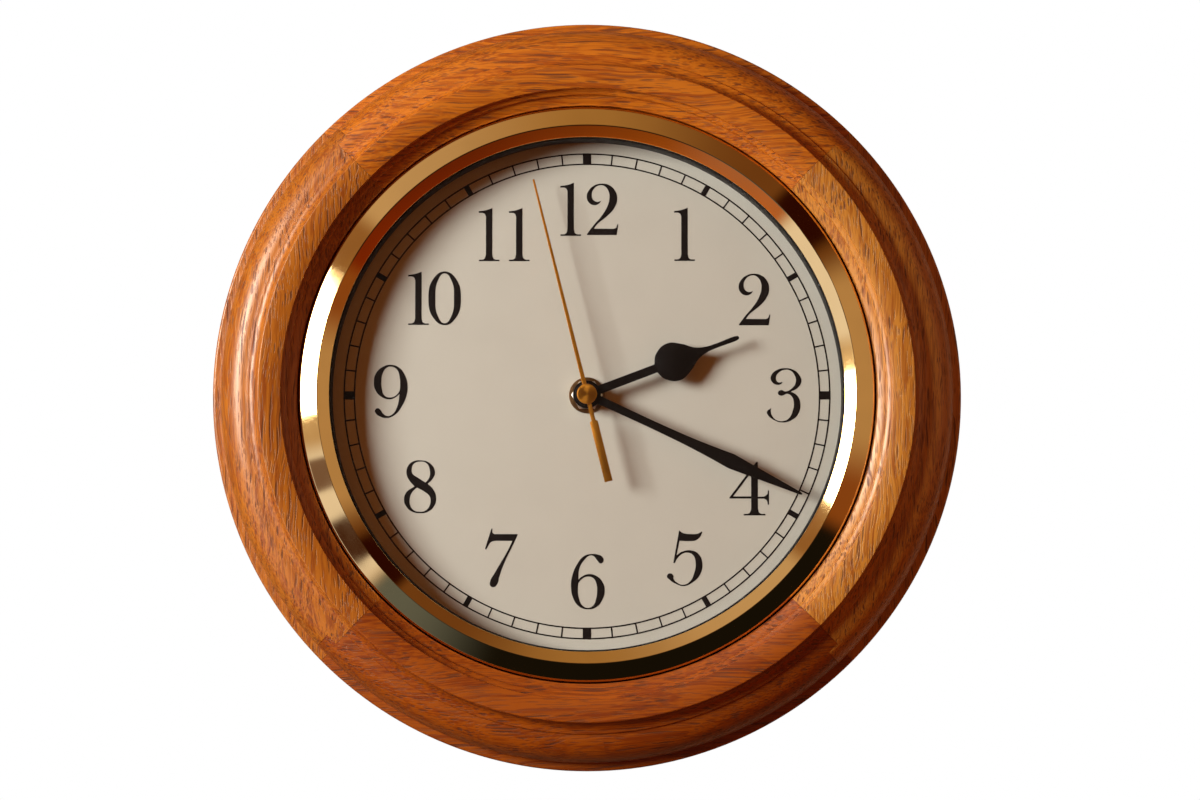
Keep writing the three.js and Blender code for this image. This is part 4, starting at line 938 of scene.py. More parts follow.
class DialSettings(bpy.types.PropertyGroup):
    """Dial colour and print."""

    paper: bpy.props.FloatVectorProperty(
        name="Paper", description="Cream ground of the dial", subtype="COLOR", default=(0.74, 0.7, 0.565),
        min=0, max=1)
    ink: bpy.props.FloatVectorProperty(
        name="Ink", description="Black of the print", subtype="COLOR", default=(0.006, 0.004, 0.0035),
        min=0, max=1)
    digit_height: bpy.props.FloatProperty(
        name="Digit Height", description="Height of a numeral", unit="LENGTH", default=0.0218, min=0.001)
    track_outer: bpy.props.FloatProperty(
        name="Track Outer", description="Radius of the outer track line", unit="LENGTH", default=0.0989,
        min=0.01)
    track_inner: bpy.props.FloatProperty(
        name="Track Inner", description="Radius of the inner track line", unit="LENGTH", default=0.0947,
        min=0.01)
    line: bpy.props.FloatProperty(
        name="Line", description="Width of the track lines and minute marks", unit="LENGTH", default=0.0006,
        min=0.0001)
    hour_mark: bpy.props.FloatProperty(
        name="Hour Mark", description="Width of an hour mark", unit="LENGTH", default=0.0022, min=0.0001)
    quarter_mark: bpy.props.FloatProperty(
        name="Quarter Mark", description="Width of the marks at 12, 3, 6 and 9", unit="LENGTH",
        default=0.0034, min=0.0001)


class MetalSettings(bpy.types.PropertyGroup):
    """Colours of the turned metal."""

    bezel: bpy.props.FloatVectorProperty(
        name="Bezel", description="Polished brass of the bezel", subtype="COLOR", default=(0.84, 0.56, 0.22),
        min=0, max=1)
    hand: bpy.props.FloatVectorProperty(
        name="Hand", description="Brass of the second hand", subtype="COLOR", default=(0.58, 0.22, 0.022),
        min=0, max=1)
    hub: bpy.props.FloatVectorProperty(
        name="Hub", description="Paler metal of the nut", subtype="COLOR", default=(0.74, 0.62, 0.48),
        min=0, max=1)
    # The washer's dark brown is a painted reflection: it stands in for the dim room that the flat metal
    # reflects
    washer: bpy.props.FloatVectorProperty(
        name="Washer", description="Bronzed metal of the hub's washer", subtype="COLOR",
        default=(0.22, 0.11, 0.045), min=0, max=1)


class StageSettings(bpy.types.PropertyGroup):
    """Camera and light."""

    distance: bpy.props.FloatProperty(
        name="Distance", description="Camera to dial", unit="LENGTH", default=1.4)
    elevation: bpy.props.FloatProperty(
        name="Elevation", description="Height of the camera above the dial, as an angle", subtype="ANGLE",
        default=math.radians(-3.5))
    view_width: bpy.props.FloatProperty(
        name="View Width", description="Width of the picture at the dial", unit="LENGTH", default=0.489)
    window_bearing: bpy.props.FloatProperty(
        name="Window Bearing", description="Angle of the window left of the view", subtype="ANGLE",
        default=math.radians(53.7))
    window_rise: bpy.props.FloatProperty(
        name="Window Rise", description="Angle of the window above the dial", subtype="ANGLE",
        default=math.radians(11.2))
    window_power: bpy.props.FloatProperty(
        name="Window Power", description="Power of the window light", unit="POWER", default=35.5)
    ambient: bpy.props.FloatProperty(
        name="Ambient", description="Strength of the even light", default=0.2, min=0)


class WallClockSettings(bpy.types.PropertyGroup):
    """All settings of the clock."""

    oak: bpy.props.PointerProperty(name="Oak", description="Oak ring", type=OakSettings)
    dial: bpy.props.PointerProperty(name="Dial", description="Dial and its print", type=DialSettings)
    metal: bpy.props.PointerProperty(name="Metal", description="Turned metal", type=MetalSettings)
    stage: bpy.props.PointerProperty(name="Stage", description="Camera and light", type=StageSettings)


# Case


def oak_outline():
    return [
        (BOARD_REBATE[0], 0),
        (OAK_RADIUS - BACK_CHAMFER, 0),
        (OAK_RADIUS, BACK_CHAMFER),
        *reversed(arc((OAK_RADIUS - EDGE_ROUND, EDGE_DEPTH), (OAK_RADIUS, EDGE_DEPTH - EDGE_ROUND),
                      CORNER_STEPS)),
        (OVOLO[1][0], EDGE_DEPTH),
        *reversed(arc(*OVOLO)),
        *arc(*OUTER_COVE),
        FACE_OUTER,
        FACE_INNER,
        *crown(*HIGH_ROUND),
        *crown(*LOW_ROUND),
        (LIP[0], LIP[2]),
        (LIP[0], LIP[1]),
        (FLANGE_REBATE, LIP[1]),
        (FLANGE_REBATE, BOARD_REBATE[1]),
        BOARD_REBATE,
    ]


def oak_sector():
    """A stretch of the oak ring around 12 o'clock, a little longer than one segment."""
    bm = bmesh.new()
    verts, edges = outline_wire(bm, oak_outline(), True)
    bmesh.ops.rotate(bm, verts=verts, cent=HUB, matrix=Matrix.Rotation(-math.pi / 2 - SECTOR_HALF, 3, "Y"))
    made = bmesh.ops.spin(bm, geom=verts + edges, cent=HUB, axis=HAND_AXIS, dvec=(0, 0, 0),
                          angle=2 * SECTOR_HALF, steps=RING_STEPS // 3)
    last = [part for part in made["geom_last"] if isinstance(part, bmesh.types.BMEdge)]
    caps = [bmesh.ops.edgeloop_fill(bm, edges=loop)["faces"][0] for loop in (edges, last)]
    bmesh.ops.recalc_face_normals(bm, faces=bm.faces)
    return round_edges(bm, ARRIS_ROUND, chosen=lambda edge: not any(face in caps for face in edge.link_faces))


def mitre_cut(end):
    """What is cut away beyond one end of a segment, stepped for its tongue (end 1) or groove (end -1)."""
    start = -end * GLUE_LINE
    reach = start + TONGUE_REACH
    far = end * CUT_REACH
    back, front = TONGUE
    before = FACE_DEPTH + OVERCUT
    step = [(start, -OVERCUT), (start, back), (reach, back), (reach, front), (start, front), (start, before),
            (far, before), (far, -OVERCUT)]
    bm = bmesh.new()
    face = bm.faces.new([bm.verts.new(spot(across, depth, 0)) for across, depth in step])
    grown = bmesh.ops.extrude_face_region(bm, geom=[face])
    tops = [part for part in grown["geom"] if isinstance(part, bmesh.types.BMVert)]
    bmesh.ops.translate(bm, verts=tops, vec=(0, 0, CUT_REACH * MM))
    bmesh.ops.recalc_face_normals(bm, faces=bm.faces)
    return moved(bm, about_hub(end * math.pi / len(SEGMENTS)))


def board(side, index):
    """The oak of one segment, upright in the side ones."""
    # The tint is partly painted light and shade: darker and redder on the bottom board, paler on the right
    # one
    tint, wave, start = BOARDS[side]
    turn = math.pi / 2 if side in ("right", "left") else GRAIN_TILT
    shift = (start, BOARD_STEP[0] * index, BOARD_STEP[1] * index)
    pith = (0, PITH[0] + PITH_STEP[0] * index, PITH[1] + PITH_STEP[1] * index)
    return oak(f"oak_{side}", turn, shift, pith, tint, wave)


def make_oak_ring():
    """Four tongued segments, the top one let in for the hanger."""
    segment = carved(oak_sector(), mitre_cut(1), mitre_cut(-1))
    around, under = HANGER_ROOM
    bed = flat_shape([stadium(*HANGER_SIZE, HANGER_RADIUS, around)], -OVERCUT, HANGER_DEPTH + under)
    half, low, high, depth = NAIL_POCKET
    pocket = block((-half, -OVERCUT, HANGER_RADIUS + low), (half, depth, HANGER_RADIUS + high))
    for index, side in enumerate(SEGMENTS):
        body = segment.copy()
        if side == "top":
            body = carved(body, bed, pocket)
        moved(body, about_hub(index * math.pi / 2))
        piece(f"oak_{side}", body, "case", "oak", board(side, index), f"frame_segment_{side}", sharp=OAK_TURN)
    segment.free()


def eased_edge(lean):
    """Points of the bezel's round outer edge, from its wall to its outer facet, which leans by an angle."""
    reach = BEZEL_EASE * math.tan((math.pi / 2 - lean) / 2)
    radius, depth = BEZEL_EDGE[0] - BEZEL_EASE, BEZEL_EDGE[1] - reach
    points = []
    for step in range(EASE_STEPS + 1):
        angle = math.pi / 2 + step / EASE_STEPS * (lean - math.pi / 2)
        points.append((radius + BEZEL_EASE * math.sin(angle), depth + BEZEL_EASE * math.cos(angle)))
    end = points[-1]
    return [*points, (end[0] - EASE_HOLD, end[1] + EASE_HOLD * math.tan(lean))]


def make_bezel():
    """A sheet of brass with two facets that meet in a ridge, and a flange behind the oak's lip."""
    sheet = BEZEL_SHEET
    inner_slope = (RIDGE[1] - BEZEL_INNER[1]) / (RIDGE[0] - VIEW_RADIUS)
    outer_slope = (RIDGE[1] - BEZEL_EDGE[1]) / (BEZEL_EDGE[0] - RIDGE[0])
    drop = 1.5 * sheet
    outline = [
        (FLANGE[0], FLANGE[1]),
        (FLANGE[0], FLANGE[2]),
        (BEZEL_EDGE[0], FLANGE[2]),
        *eased_edge(math.atan(outer_slope)),
        (RIDGE[0] + RIDGE_HOLD, RIDGE[1] - RIDGE_HOLD * outer_slope),
        RIDGE,
        (RIDGE[0] - RIDGE_HOLD, RIDGE[1] - RIDGE_HOLD * inner_slope),
        (VIEW_RADIUS + RIDGE_HOLD, BEZEL_INNER[1] + RIDGE_HOLD * inner_slope),
        (VIEW_RADIUS, BEZEL_INNER[1]),
        (VIEW_RADIUS, BEZEL_INNER[0]),
        (VIEW_RADIUS + (drop - sheet) / inner_slope, BEZEL_INNER[0]),
        (RIDGE[0], RIDGE[1] - drop),
        (BEZEL_EDGE[0] - sheet, BEZEL_EDGE[1] - drop + outer_slope * sheet),
        (BEZEL_EDGE[0] - sheet, FLANGE[1]),
    ]
    bm = round_edges(turned(outline), EDGE_SOFT, 3, SHEET_TURN)
    polished = brass("polished_brass", bpy.context.scene.wall_clock.metal.bezel, 0.045, relief=0.0015)
    piece("brass_bezel", bm, "case", "brass", polished, "bezel_ring")


def make_spacer():
    radius, back, front = span("spacer_ring")
    inner = VIEW_RADIUS - SPACER_LIP
    wall = inner + SPACER_WALL
    foot = back + SPACER_FOOT
    bm = turned([(inner, back), (inner, front), (wall, front), (wall, foot), (radius, foot), (radius, back)])
    black = matt("black_moulding", (0.005, 0.004, 0.004), (0.008, 0.007, 0.006), roughness=0.5, specular=0.15)
    piece("black_spacer", round_edges(bm, SPACER_SOFT), "case", "black_plastic", black, "spacer_ring")


# Dial and hands


def numerals(settings, low, high):
    """The twelve upright numerals as one bmesh between two depths."""
    digits = []
    for middle_x, middle_y, places in NUMERALS:
        for digit, shift in places:
            tall = settings.digit_height / MM * DIGIT_GROWTH.get(digit, 1.0)
            left, foot = middle_x + shift, middle_y - tall / 2
            outlines = [[(left + x * tall, foot + y * tall, *corner) for x, y, *corner in outline]
                        for outline in DIGITS[digit]]
            digits.append(flat_shape(outlines, low, high))
    return joined(*digits)


def track(settings, low, high):
    """Two lines with minute marks between them, and wider marks at the hours and quarters."""
    inner, outer, line = settings.track_inner / MM, settings.track_outer / MM, settings.line / MM
    parts = [ring(radius - line / 2, radius + line / 2, low, high) for radius in (inner, outer)]
    for minute in range(MINUTES):
        width, reach = line, 0
        if minute % HOUR == 0:
            width = (settings.hour_mark if minute % QUARTER else settings.quarter_mark) / MM
            reach = line / 2
        mark = block((-width / 2, low, inner - reach), (width / 2, high + MARK_RISE, outer + reach))
        parts.append(moved(mark, about_hub(2 * math.pi * minute / MINUTES)))
    return joined(*parts)


def make_dial():
    settings = bpy.context.scene.wall_clock.dial
    paper = matt("cream_dial", settings.paper, [0.965 * share for share in settings.paper], roughness=0.6,
                 grain=2.2, relief=0.004, specular=0.08)
    ink = matt("dial_ink", settings.ink, [1.6 * share for share in settings.ink], roughness=0.4, grain=4.0,
               relief=0.004, specular=0.1)
    dress(paper, "dial_plate")
    front = depths("dial_plate")[1]
    low, high = front - PRINT_SINK, front + PRINT_RISE
    piece("dial_numerals", numerals(settings, low, high), "case", "hand_black", ink)
    piece("dial_track", track(settings, low, high), "case", "hand_black", ink)


def bearing_of(part):
    """The way that a hand's CAD node points from the hub, as an angle clockwise from 12."""
    offsets = [vertex.co - HUB for vertex in NODES[part].data.vertices]
    tip = max(offsets, key=lambda offset: offset.x ** 2 + offset.z ** 2)
    return math.atan2(tip.x, tip.z)


def hand_shape(part, edge, boss, soft):
    """A blade, mirrored from its half outline and turned as its CAD node is, with a boss on it."""
    back, front = depths(part)
    outer, bore = boss
    outline = edge + [(-x, y, *corner) for x, y, *corner in reversed(edge)]
    blade = flat_shape([outline], back, front, soft, bearing_of(part))
    disc = round_edges(ring(bore, outer, back, front, TUBE_STEPS), soft)
    return carved(blade, disc, operation="UNION")


def make_black_hands():
    black = matt("hand_black", (0.004, 0.003, 0.0025), (0.007, 0.005, 0.004), roughness=0.3, relief=0.003,
                 specular=0.12)
    hour = hand_shape("hour_hand", HOUR_EDGE, HOUR_BOSS, BLADE_SOFT)
    piece("hour_hand_blade", hour, "hour", "hand_black", black, "hour_hand")
    minute = hand_shape("minute_hand", MINUTE_EDGE, MINUTE_BOSS, BLADE_SOFT)
    piece("minute_hand_blade", minute, "minute", "hand_black", black, "minute_hand")


def make_second_hand():
    colour = bpy.context.scene.wall_clock.metal.hand
    gilt = brass("gilt_hand", colour, 0.34, fineness=2.0, relief=0.002)
    needle = hand_shape("second_hand", SECOND_EDGE, SECOND_BOSS, NEEDLE_SOFT)
    piece("second_hand_needle", needle, "seconds", "brass", gilt, "second_hand")
    back, front = depths("second_hand_cap")
    foot = back + (front - back) * CAP_BACK
    wall, face = CAP_RADII
    edge_low, edge_high = CAP_EDGE
    cap = turned([(0, foot), (wall, foot), (wall, front - edge_low), (face, front - edge_high), (0, front)],
                 TUBE_STEPS)
    spun = brass("spun_cap", colour, 0.3, fineness=12.0, anisotropic=0.7)
    piece("second_hand_button", round_edges(cap, NEEDLE_SOFT), "seconds", "brass", spun, "second_hand_cap")


def make_hub():
    settings = bpy.context.scene.wall_clock.metal
    # The washer's dark colour is a painted reflection of the dim room
    painted_dark_washer = brass("washer_painted_dark", settings.washer, 0.3, fineness=8.0)
    plated = brass("plated_nut", settings.hub, 0.3, fineness=8.0)
    radius, back, front = span("hub_washer")
    washer = round_edges(ring(POST_BORE, radius, back, front, TUBE_STEPS), WASHER_SOFT)
    piece("hub_washer_ring", washer, "case", "brass", painted_dark_washer, "hub_washer")
    corner, back, front = span("hub_nut")
    angles = [math.radians(60 * side) for side in range(6)]
    hexagon = [(corner * math.cos(angle), corner * math.sin(angle), "c") for angle in angles]
    nut = flat_shape([hexagon, round_points(0, 0, POST_BORE)], back, front)
    (wide, low), (narrow, high) = NUT_CONE
    cone = turned([(0, back - OVERCUT), (corner + wide, back - OVERCUT), (corner + wide, front + low),
                   (corner + narrow, front + high), (0, front + high)], TUBE_STEPS)
    nut = carved(nut, cone, operation="INTERSECT")
    piece("hub_hex_nut", nut, "case", "brass", plated, "hub_nut", sharp=NUT_TURN)


# Back


def make_backing_board():
    radius, back, front = span("backing_board")
    bm = round_edges(ring(POST_BORE, radius, back, front), BOARD_SOFT)
    piece("backing_panel", bm, "case", "hardboard", hardboard(), "backing_board")


def cross_slot(depth):
    """The tool for a cross recess, at the hand axis and sunk from the wall side to a depth."""
    start = -2 * OVERCUT
    level = block((-CROSS_REACH, start, -CROSS_HALF), (CROSS_REACH, depth, CROSS_HALF))
    upright = block((-CROSS_HALF, start, -CROSS_REACH), (CROSS_HALF, depth, CROSS_REACH))
    return carved(level, upright, operation="UNION")


def screw(name, part, head, seat, cross):
    """A screw with a head of (radius, depth) pairs, turned on the hand axis and moved to its node's place."""
    low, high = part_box(part)
    top, point = depths(part)
    shank = [(SHANK_RADIUS, seat), (SHANK_RADIUS, point - POINT_LENGTH), (0, point)]
    bm = carved(turned([*head, *shank], HOLE_STEPS), cross_slot(top + cross))
    shift = Vector(((low.x + high.x) / 2, 0, (low.z + high.z) / 2 - HUB.z))
    piece(name, moved(bm, Matrix.Translation(shift)), "case", "steel", zinc_plate(), part)


def make_screws():
    """Pan heads in the backing board and sunk heads in the hanger."""
    for index in range(1, BOARD_SCREWS + 1):
        part = f"board_screw_{index}"
        top = depths(part)[0]
        head = [(radius, top + drop) for radius, drop in PAN_HEAD]
        screw(f"pan_screw_{index}", part, head, head[-1][1], PAN_CROSS)
    for side in ("left", "right"):
        part = f"hanger_screw_{side}"
        top = depths(part)[0]
        head = [(0, top), (HEAD_RADIUS, top)]
        screw(f"sunk_screw_{side}", part, head, HANGER_DEPTH, SUNK_CROSS)


def cornered(points):
    """The same points with the first and the last made corners."""
    return [(*points[0], "c"), *points[1:-1], (*points[-1], "c")]


def keyhole():
    """A round entry that opens upwards into a narrower slot."""
    entry_radius, entry_y = KEYHOLE_ENTRY
    slot_radius, slot_y = KEYHOLE_SLOT
    lean = math.asin(slot_radius / entry_radius)
    middle = HANGER_RADIUS + entry_y
    entry = []
    for step in range(EASE_STEPS + 1):
        angle = math.pi / 2 + lean + step / EASE_STEPS * 2 * (math.pi - lean)
        entry.append((entry_radius * math.cos(angle), middle + entry_radius * math.sin(angle)))
    return cornered(entry) + cornered(round_points(0, HANGER_RADIUS + slot_y, slot_radius, count=5))


def make_hanger():
    reach, hole = HANGER_HOLE
    holes = [round_points(side * reach, HANGER_RADIUS, hole) for side in (-1, 1)]
    outlines = [stadium(*HANGER_SIZE, HANGER_RADIUS), keyhole(), *holes]
    plate = flat_shape(outlines, 0, HANGER_DEPTH, HANGER_EDGE)
    piece("keyhole_hanger", plate, "case", "steel", zinc_plate(), "hanger_plate")


# Movement


def make_movement_case():
    black = matt("movement_black", (0.016, 0.016, 0.017), (0.024, 0.024, 0.025), roughness=0.45, grain=5.0,
                 relief=0.012)
    for name, part in (("movement_body", "movement_shell"), ("movement_lid", "movement_cover")):
        piece(name, softened(part, CASE_SOFT), "case", "black_plastic", black, part)


def make_knob():
    """Fluted setting knob on its shaft."""
    radius, back, front = span("setting_knob")
    rim = []
    for step in range(2 * FLUTES):
        angle = math.pi * step / FLUTES
        reach = radius - (FLUTE_DEPTH if step % 2 else 0)
        rim.append((reach * math.cos(angle), reach * math.sin(angle)))
    head = flat_shape([rim], back, back + KNOB_HEAD, KNOB_SOFT, resolution=3)
    length, width, depth = KNOB_SLOT
    head = carved(head, block((-length, back - OVERCUT, -width), (length, back + depth, width)))
    thick, chamfer = KNOB_SHAFT
    start = back + KNOB_HEAD / 2
    shaft = turned([(0, start), (thick, start), (thick, front - chamfer), (thick - chamfer, front),
                    (0, front)], HOLE_STEPS)
    knob = carved(head, shaft, operation="UNION")
    at = JOINTS["setting_turn"]["pos_m"]
    moved(knob, Matrix.Translation((at[0], 0, at[2] - HUB.z)))
    piece("fluted_knob", knob, "setting", "white_plastic", acetal(), "setting_knob")


def make_contacts():
    for end in ("positive", "negative"):
        leaf = softened(f"contact_{end}", LEAF_SOFT)
        piece(f"{end}_leaf", leaf, "case", "steel", contact_nickel(), f"contact_{end}")


def make_works():
    """Finishes for the wheels, motor and circuit, whose CAD meshes stay."""
    dress(acetal(), "rotor_pinion", "step_wheel", "seconds_wheel", "third_wheel", "minute_wheel",
          "motion_wheel", "hour_wheel", "coil_bobbin")
    dress(contact_nickel(), "minute_arbor", "stator_plate", "coil_core", "quartz_crystal")
    dress(matt("magnet_grey", (0.07, 0.07, 0.075), (0.1, 0.1, 0.1), roughness=0.5), "rotor_magnet")
    dress(matt("copper_wire", (0.6, 0.22, 0.08), (0.48, 0.16, 0.05), roughness=0.3, grain=6.0, relief=0.02,
               metallic=1.0), "coil_winding")
    dress(matt("solder_resist", (0.02, 0.11, 0.045), (0.03, 0.15, 0.06), roughness=0.4, grain=2.0),
          "circuit_board")
    dress(matt("chip_resin", (0.01, 0.01, 0.01), (0.02, 0.02, 0.02), roughness=0.35), "driver_chip")
    dress(matt("washer_rubber", (0.015, 0.015, 0.015), (0.025, 0.025, 0.025), roughness=0.8), "rubber_washer")


def make_battery():
    """Plain wrapped cell along the bay."""
    low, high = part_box("battery")
    half = (high.x - low.x) / 2 / MM
    radius = (high.y - low.y) / 2 / MM
    outline = [
        *((reach, half - drop) for reach, drop in CELL_TOP),
        (radius, half - CELL_WALL[0]),
        (radius, CELL_WALL[1] - half),
        *((reach, rise - half) for reach, rise in CELL_FOOT),
    ]
    centre = Matrix.Translation((low + high) / 2)
    lying = Matrix.Rotation(math.pi / 2, 4, "Z") @ Matrix.Translation(-HUB)
    bm = moved(turned(outline, TUBE_STEPS), centre @ lying)
    piece("plain_cell", bm, "battery", "battery", cell_wrap(half), "battery")


# Stage


def make_camera():
    settings = bpy.context.scene.wall_clock.stage
    camera = bpy.data.cameras.new("camera")
    camera.sensor_width = SENSOR_WIDTH
    camera.lens = SENSOR_WIDTH * settings.distance / settings.view_width
    obj = new_object("camera", camera)
    away = Vector((0, -math.cos(settings.elevation), math.sin(settings.elevation)))
    obj.location = spot(*VIEW_CENTRE) + settings.distance * away
    obj.rotation_euler = (math.pi / 2 - settings.elevation, 0, 0)
    bpy.context.scene.camera = obj


def make_world():
    """White behind the object, even light of a plain level on it, and more light on its back."""
    world = bpy.data.worlds.new("studio")
    bpy.context.scene.world = world
    world.use_nodes = True
    tree = world.node_tree
    path = node(tree, "ShaderNodeLightPath").outputs
    mirrored = calc(tree, "MAXIMUM", path["Is Glossy Ray"], path["Is Transmission Ray"])
    seen = calc(tree, "MAXIMUM", path["Is Camera Ray"], mirrored)
    direct = calc(tree, "LESS_THAN", path["Diffuse Depth"], 0.5)
    ambient = bpy.context.scene.wall_clock.stage.ambient
    shade, light = ([ambient * share for share in colour] for colour in (EVEN_SHADE, EVEN_LIGHT))
    sky = node(tree, "ShaderNodeTexCoord").outputs["Generated"]
    even = mix(tree, fade(tree, vector(tree, "DOT_PRODUCT", sky, (0.4, 0.0, 0.9)), -0.7, 0.5), shade, light)
    behind = node(tree, "ShaderNodeSeparateXYZ", {0: sky}).outputs["Y"]
    even = mix(tree, fade(tree, behind, 0.6, 0.85), even, REAR_LIGHT)
    colour = mix(tree, calc(tree, "MULTIPLY", seen, direct), even, (1, 1, 1))
    backdrop = next(n for n in tree.nodes if n.type == "BACKGROUND")
    plug(tree, backdrop.inputs["Color"], colour)
    plug(tree, backdrop.inputs["Strength"], 1.0)


def toward_viewer(bearing, rise):
    """A direction in front of the dial, turned left by bearing and up by rise."""
    level = math.cos(rise)
    return Vector((-math.sin(bearing) * level, -math.cos(bearing) * level, math.sin(rise)))


def make_window():
    """The lamp that stands for a window on the left."""
    settings = bpy.context.scene.wall_clock.stage
    lamp = bpy.data.lights.new("window", "AREA")
    lamp.shape = "RECTANGLE"
    lamp.size, lamp.size_y = WINDOW_SIZE
    lamp.energy = settings.window_power
    lamp.color = WINDOW_COLOUR
    obj = new_object("window", lamp)
    obj.visible_transmission = False
    way = toward_viewer(settings.window_bearing, settings.window_rise)
    obj.location = HUB + WINDOW_DISTANCE * way
    obj.rotation_euler = way.to_track_quat("Z", "Y").to_euler()


def scenery(name, bm, material, *unseen):
    """An object of the stage, hidden from the kinds of ray that are named."""
    mesh = new_mesh(name, bm)
    mesh.materials.append(material)
    obj = new_object(name, mesh)
    for kind in unseen:
        setattr(obj, f"visible_{kind}", False)
    return obj


def room_colour(tree):
    """Walls, door, table and window sill around the dial.

    Bearings are in degrees from straight up, clockwise, and y is lowest at the far end of the room.
    """
    coords = node(tree, "ShaderNodeTexCoord").outputs["Object"]
    x, y, z = node(tree, "ShaderNodeSeparateXYZ", {0: vector(tree, "NORMALIZE", coords)}).outputs
    bearing = calc(tree, "MULTIPLY", calc(tree, "ARCTAN2", x, z), 180 / math.pi)
    walls = mix(tree, fade(tree, x, -0.5, 0.0), ROOM["window_wall"], ROOM["ceiling"])
    walls = mix(tree, fade(tree, x, 0.0, 0.4), walls, ROOM["right_wall"])
    lit_side = mix(tree, fade(tree, bearing, 96, 108), ROOM["lit_wall"], ROOM["low_wall"])
    walls = mix(tree, fade(tree, bearing, 57, 66), walls, lit_side)
    walls = mix(tree, between(tree, bearing, (41, 44), (58, 54)), walls, ROOM["door"])
    table = mix(tree, fade(tree, x, 0.5, -0.55), ROOM["table_right"], ROOM["table_left"])
    shadow = mix(tree, fade(tree, x, -0.22, -0.46), ROOM["shadow_right"], ROOM["shadow_left"])
    table = mix(tree, fade(tree, y, -0.6, -0.66), table, shadow)
    low = calc(tree, "MAXIMUM", fade(tree, bearing, 114, 119), fade(tree, bearing, -127, -132))
    colour = mix(tree, low, walls, table)
    sill = ROOM["sill"]
    for at, width, dark in SILL_THINGS:
        reach = calc(tree, "ABSOLUTE", calc(tree, "SUBTRACT", bearing, at))
        stands = calc(tree, "MULTIPLY", fade(tree, reach, width, 0.7 * width), fade(tree, y, -0.68, -0.72))
        sill = mix(tree, stands, sill, dark)
    colour = mix(tree, between(tree, bearing, (-131, -127), (-97, -102)), colour, sill)
    colour = mix(tree, between(tree, bearing, (-64, -61), (-48, -53)), colour, ROOM["post"])
    colour = mix(tree, fade(tree, y, -0.86, -0.95), colour, ROOM["far_end"])
    return mix(tree, fade(tree, y, -0.1, 0.2), colour, ROOM["near_end"])


def make_room():
    """A dim room that only polished surfaces see, so that brass and varnish have something to reflect."""
    bm = bmesh.new()
    bmesh.ops.create_uvsphere(bm, u_segments=48, v_segments=24, radius=ROOM_RADIUS)
    material, tree, _ = new_material("room_walls")
    tree.nodes.clear()
    emission = node(tree, "ShaderNodeEmission", {"Color": room_colour(tree), "Strength": 1.0})
    depth = node(tree, "ShaderNodeLightPath").outputs["Diffuse Depth"]
    see_through(tree, calc(tree, "GREATER_THAN", depth, 0.5), emission)
    room = scenery("room", bm, material, "camera", "diffuse", "shadow", "volume_scatter")


def make_floor():
    """A pale round floor that fades out at its rim."""
    bm = bmesh.new()
    bmesh.ops.create_circle(bm, cap_ends=True, segments=FLOOR_STEPS, radius=FLOOR_RADIUS)
    moved(bm, Matrix.Translation((0, 0, CAD_BOX[0].z - FLOOR_DROP)))
    material, tree, shader = new_material("pale_floor")
    coords = node(tree, "ShaderNodeTexCoord").outputs["Object"]
    reach = vector(tree, "LENGTH", vector(tree, "MULTIPLY", coords, (1, 1, 0)))
    tone = mix(tree, fade(tree, noise(tree, coords, 3.0), 0.3, 0.7), (0.9, 0.89, 0.87), (0.93, 0.92, 0.91))
    set_shader(tree, shader, colour=tone, alpha=fade(tree, reach, *FLOOR_FADE), roughness=0.8,
               glow=FLOOR_GLOW, glow_strength=0.35)
    floor = scenery("floor", bm, material, "glossy", "diffuse", "transmission")


# Operators


class WALLCLOCK_OT_oak_ring(bpy.types.Operator):
    """Build the four oak segments"""

    bl_idname = "wall_clock.oak_ring"
    bl_label = "Oak Ring"
    bl_options = {"REGISTER", "UNDO"}

    def execute(self, context):
        make_oak_ring()
        return {"FINISHED"}


class WALLCLOCK_OT_bezel(bpy.types.Operator):
    """Build the brass bezel"""

    bl_idname = "wall_clock.bezel"
    bl_label = "Brass Bezel"
    bl_options = {"REGISTER", "UNDO"}

    def execute(self, context):
        make_bezel()
        return {"FINISHED"}


class WALLCLOCK_OT_glass(bpy.types.Operator):
    """Finish the glass"""

    bl_idname = "wall_clock.glass"
    bl_label = "Glass"
    bl_options = {"REGISTER", "UNDO"}

    def execute(self, context):
        dress(clear_glass(), "glass_lens")
        return {"FINISHED"}


class WALLCLOCK_OT_spacer(bpy.types.Operator):
    """Build the black ring between dial and glass"""

    bl_idname = "wall_clock.spacer"
    bl_label = "Spacer"
    bl_options = {"REGISTER", "UNDO"}

    def execute(self, context):
        make_spacer()
        return {"FINISHED"}


class WALLCLOCK_OT_dial(bpy.types.Operator):
    """Finish the dial and print its numerals and track"""

    bl_idname = "wall_clock.dial"
    bl_label = "Dial"
    bl_options = {"REGISTER", "UNDO"}

    def execute(self, context):
        make_dial()
        return {"FINISHED"}


class WALLCLOCK_OT_hub(bpy.types.Operator):
    """Build the washer and the nut at the hub"""

    bl_idname = "wall_clock.hub"
    bl_label = "Hub"
    bl_options = {"REGISTER", "UNDO"}

    def execute(self, context):
        make_hub()
        return {"FINISHED"}


class WALLCLOCK_OT_black_hands(bpy.types.Operator):
    """Build the hour hand and the minute hand"""

    bl_idname = "wall_clock.black_hands"
    bl_label = "Black Hands"
    bl_options = {"REGISTER", "UNDO"}

    def execute(self, context):
        make_black_hands()
        return {"FINISHED"}


class WALLCLOCK_OT_second_hand(bpy.types.Operator):
    """Build the second hand and its cap"""

    bl_idname = "wall_clock.second_hand"
    bl_label = "Second Hand"
    bl_options = {"REGISTER", "UNDO"}

    def execute(self, context):
        make_second_hand()
        return {"FINISHED"}


class WALLCLOCK_OT_backing_board(bpy.types.Operator):
    """Build the backing board"""

    bl_idname = "wall_clock.backing_board"
    bl_label = "Backing Board"
    bl_options = {"REGISTER", "UNDO"}

    def execute(self, context):
        make_backing_board()
        return {"FINISHED"}


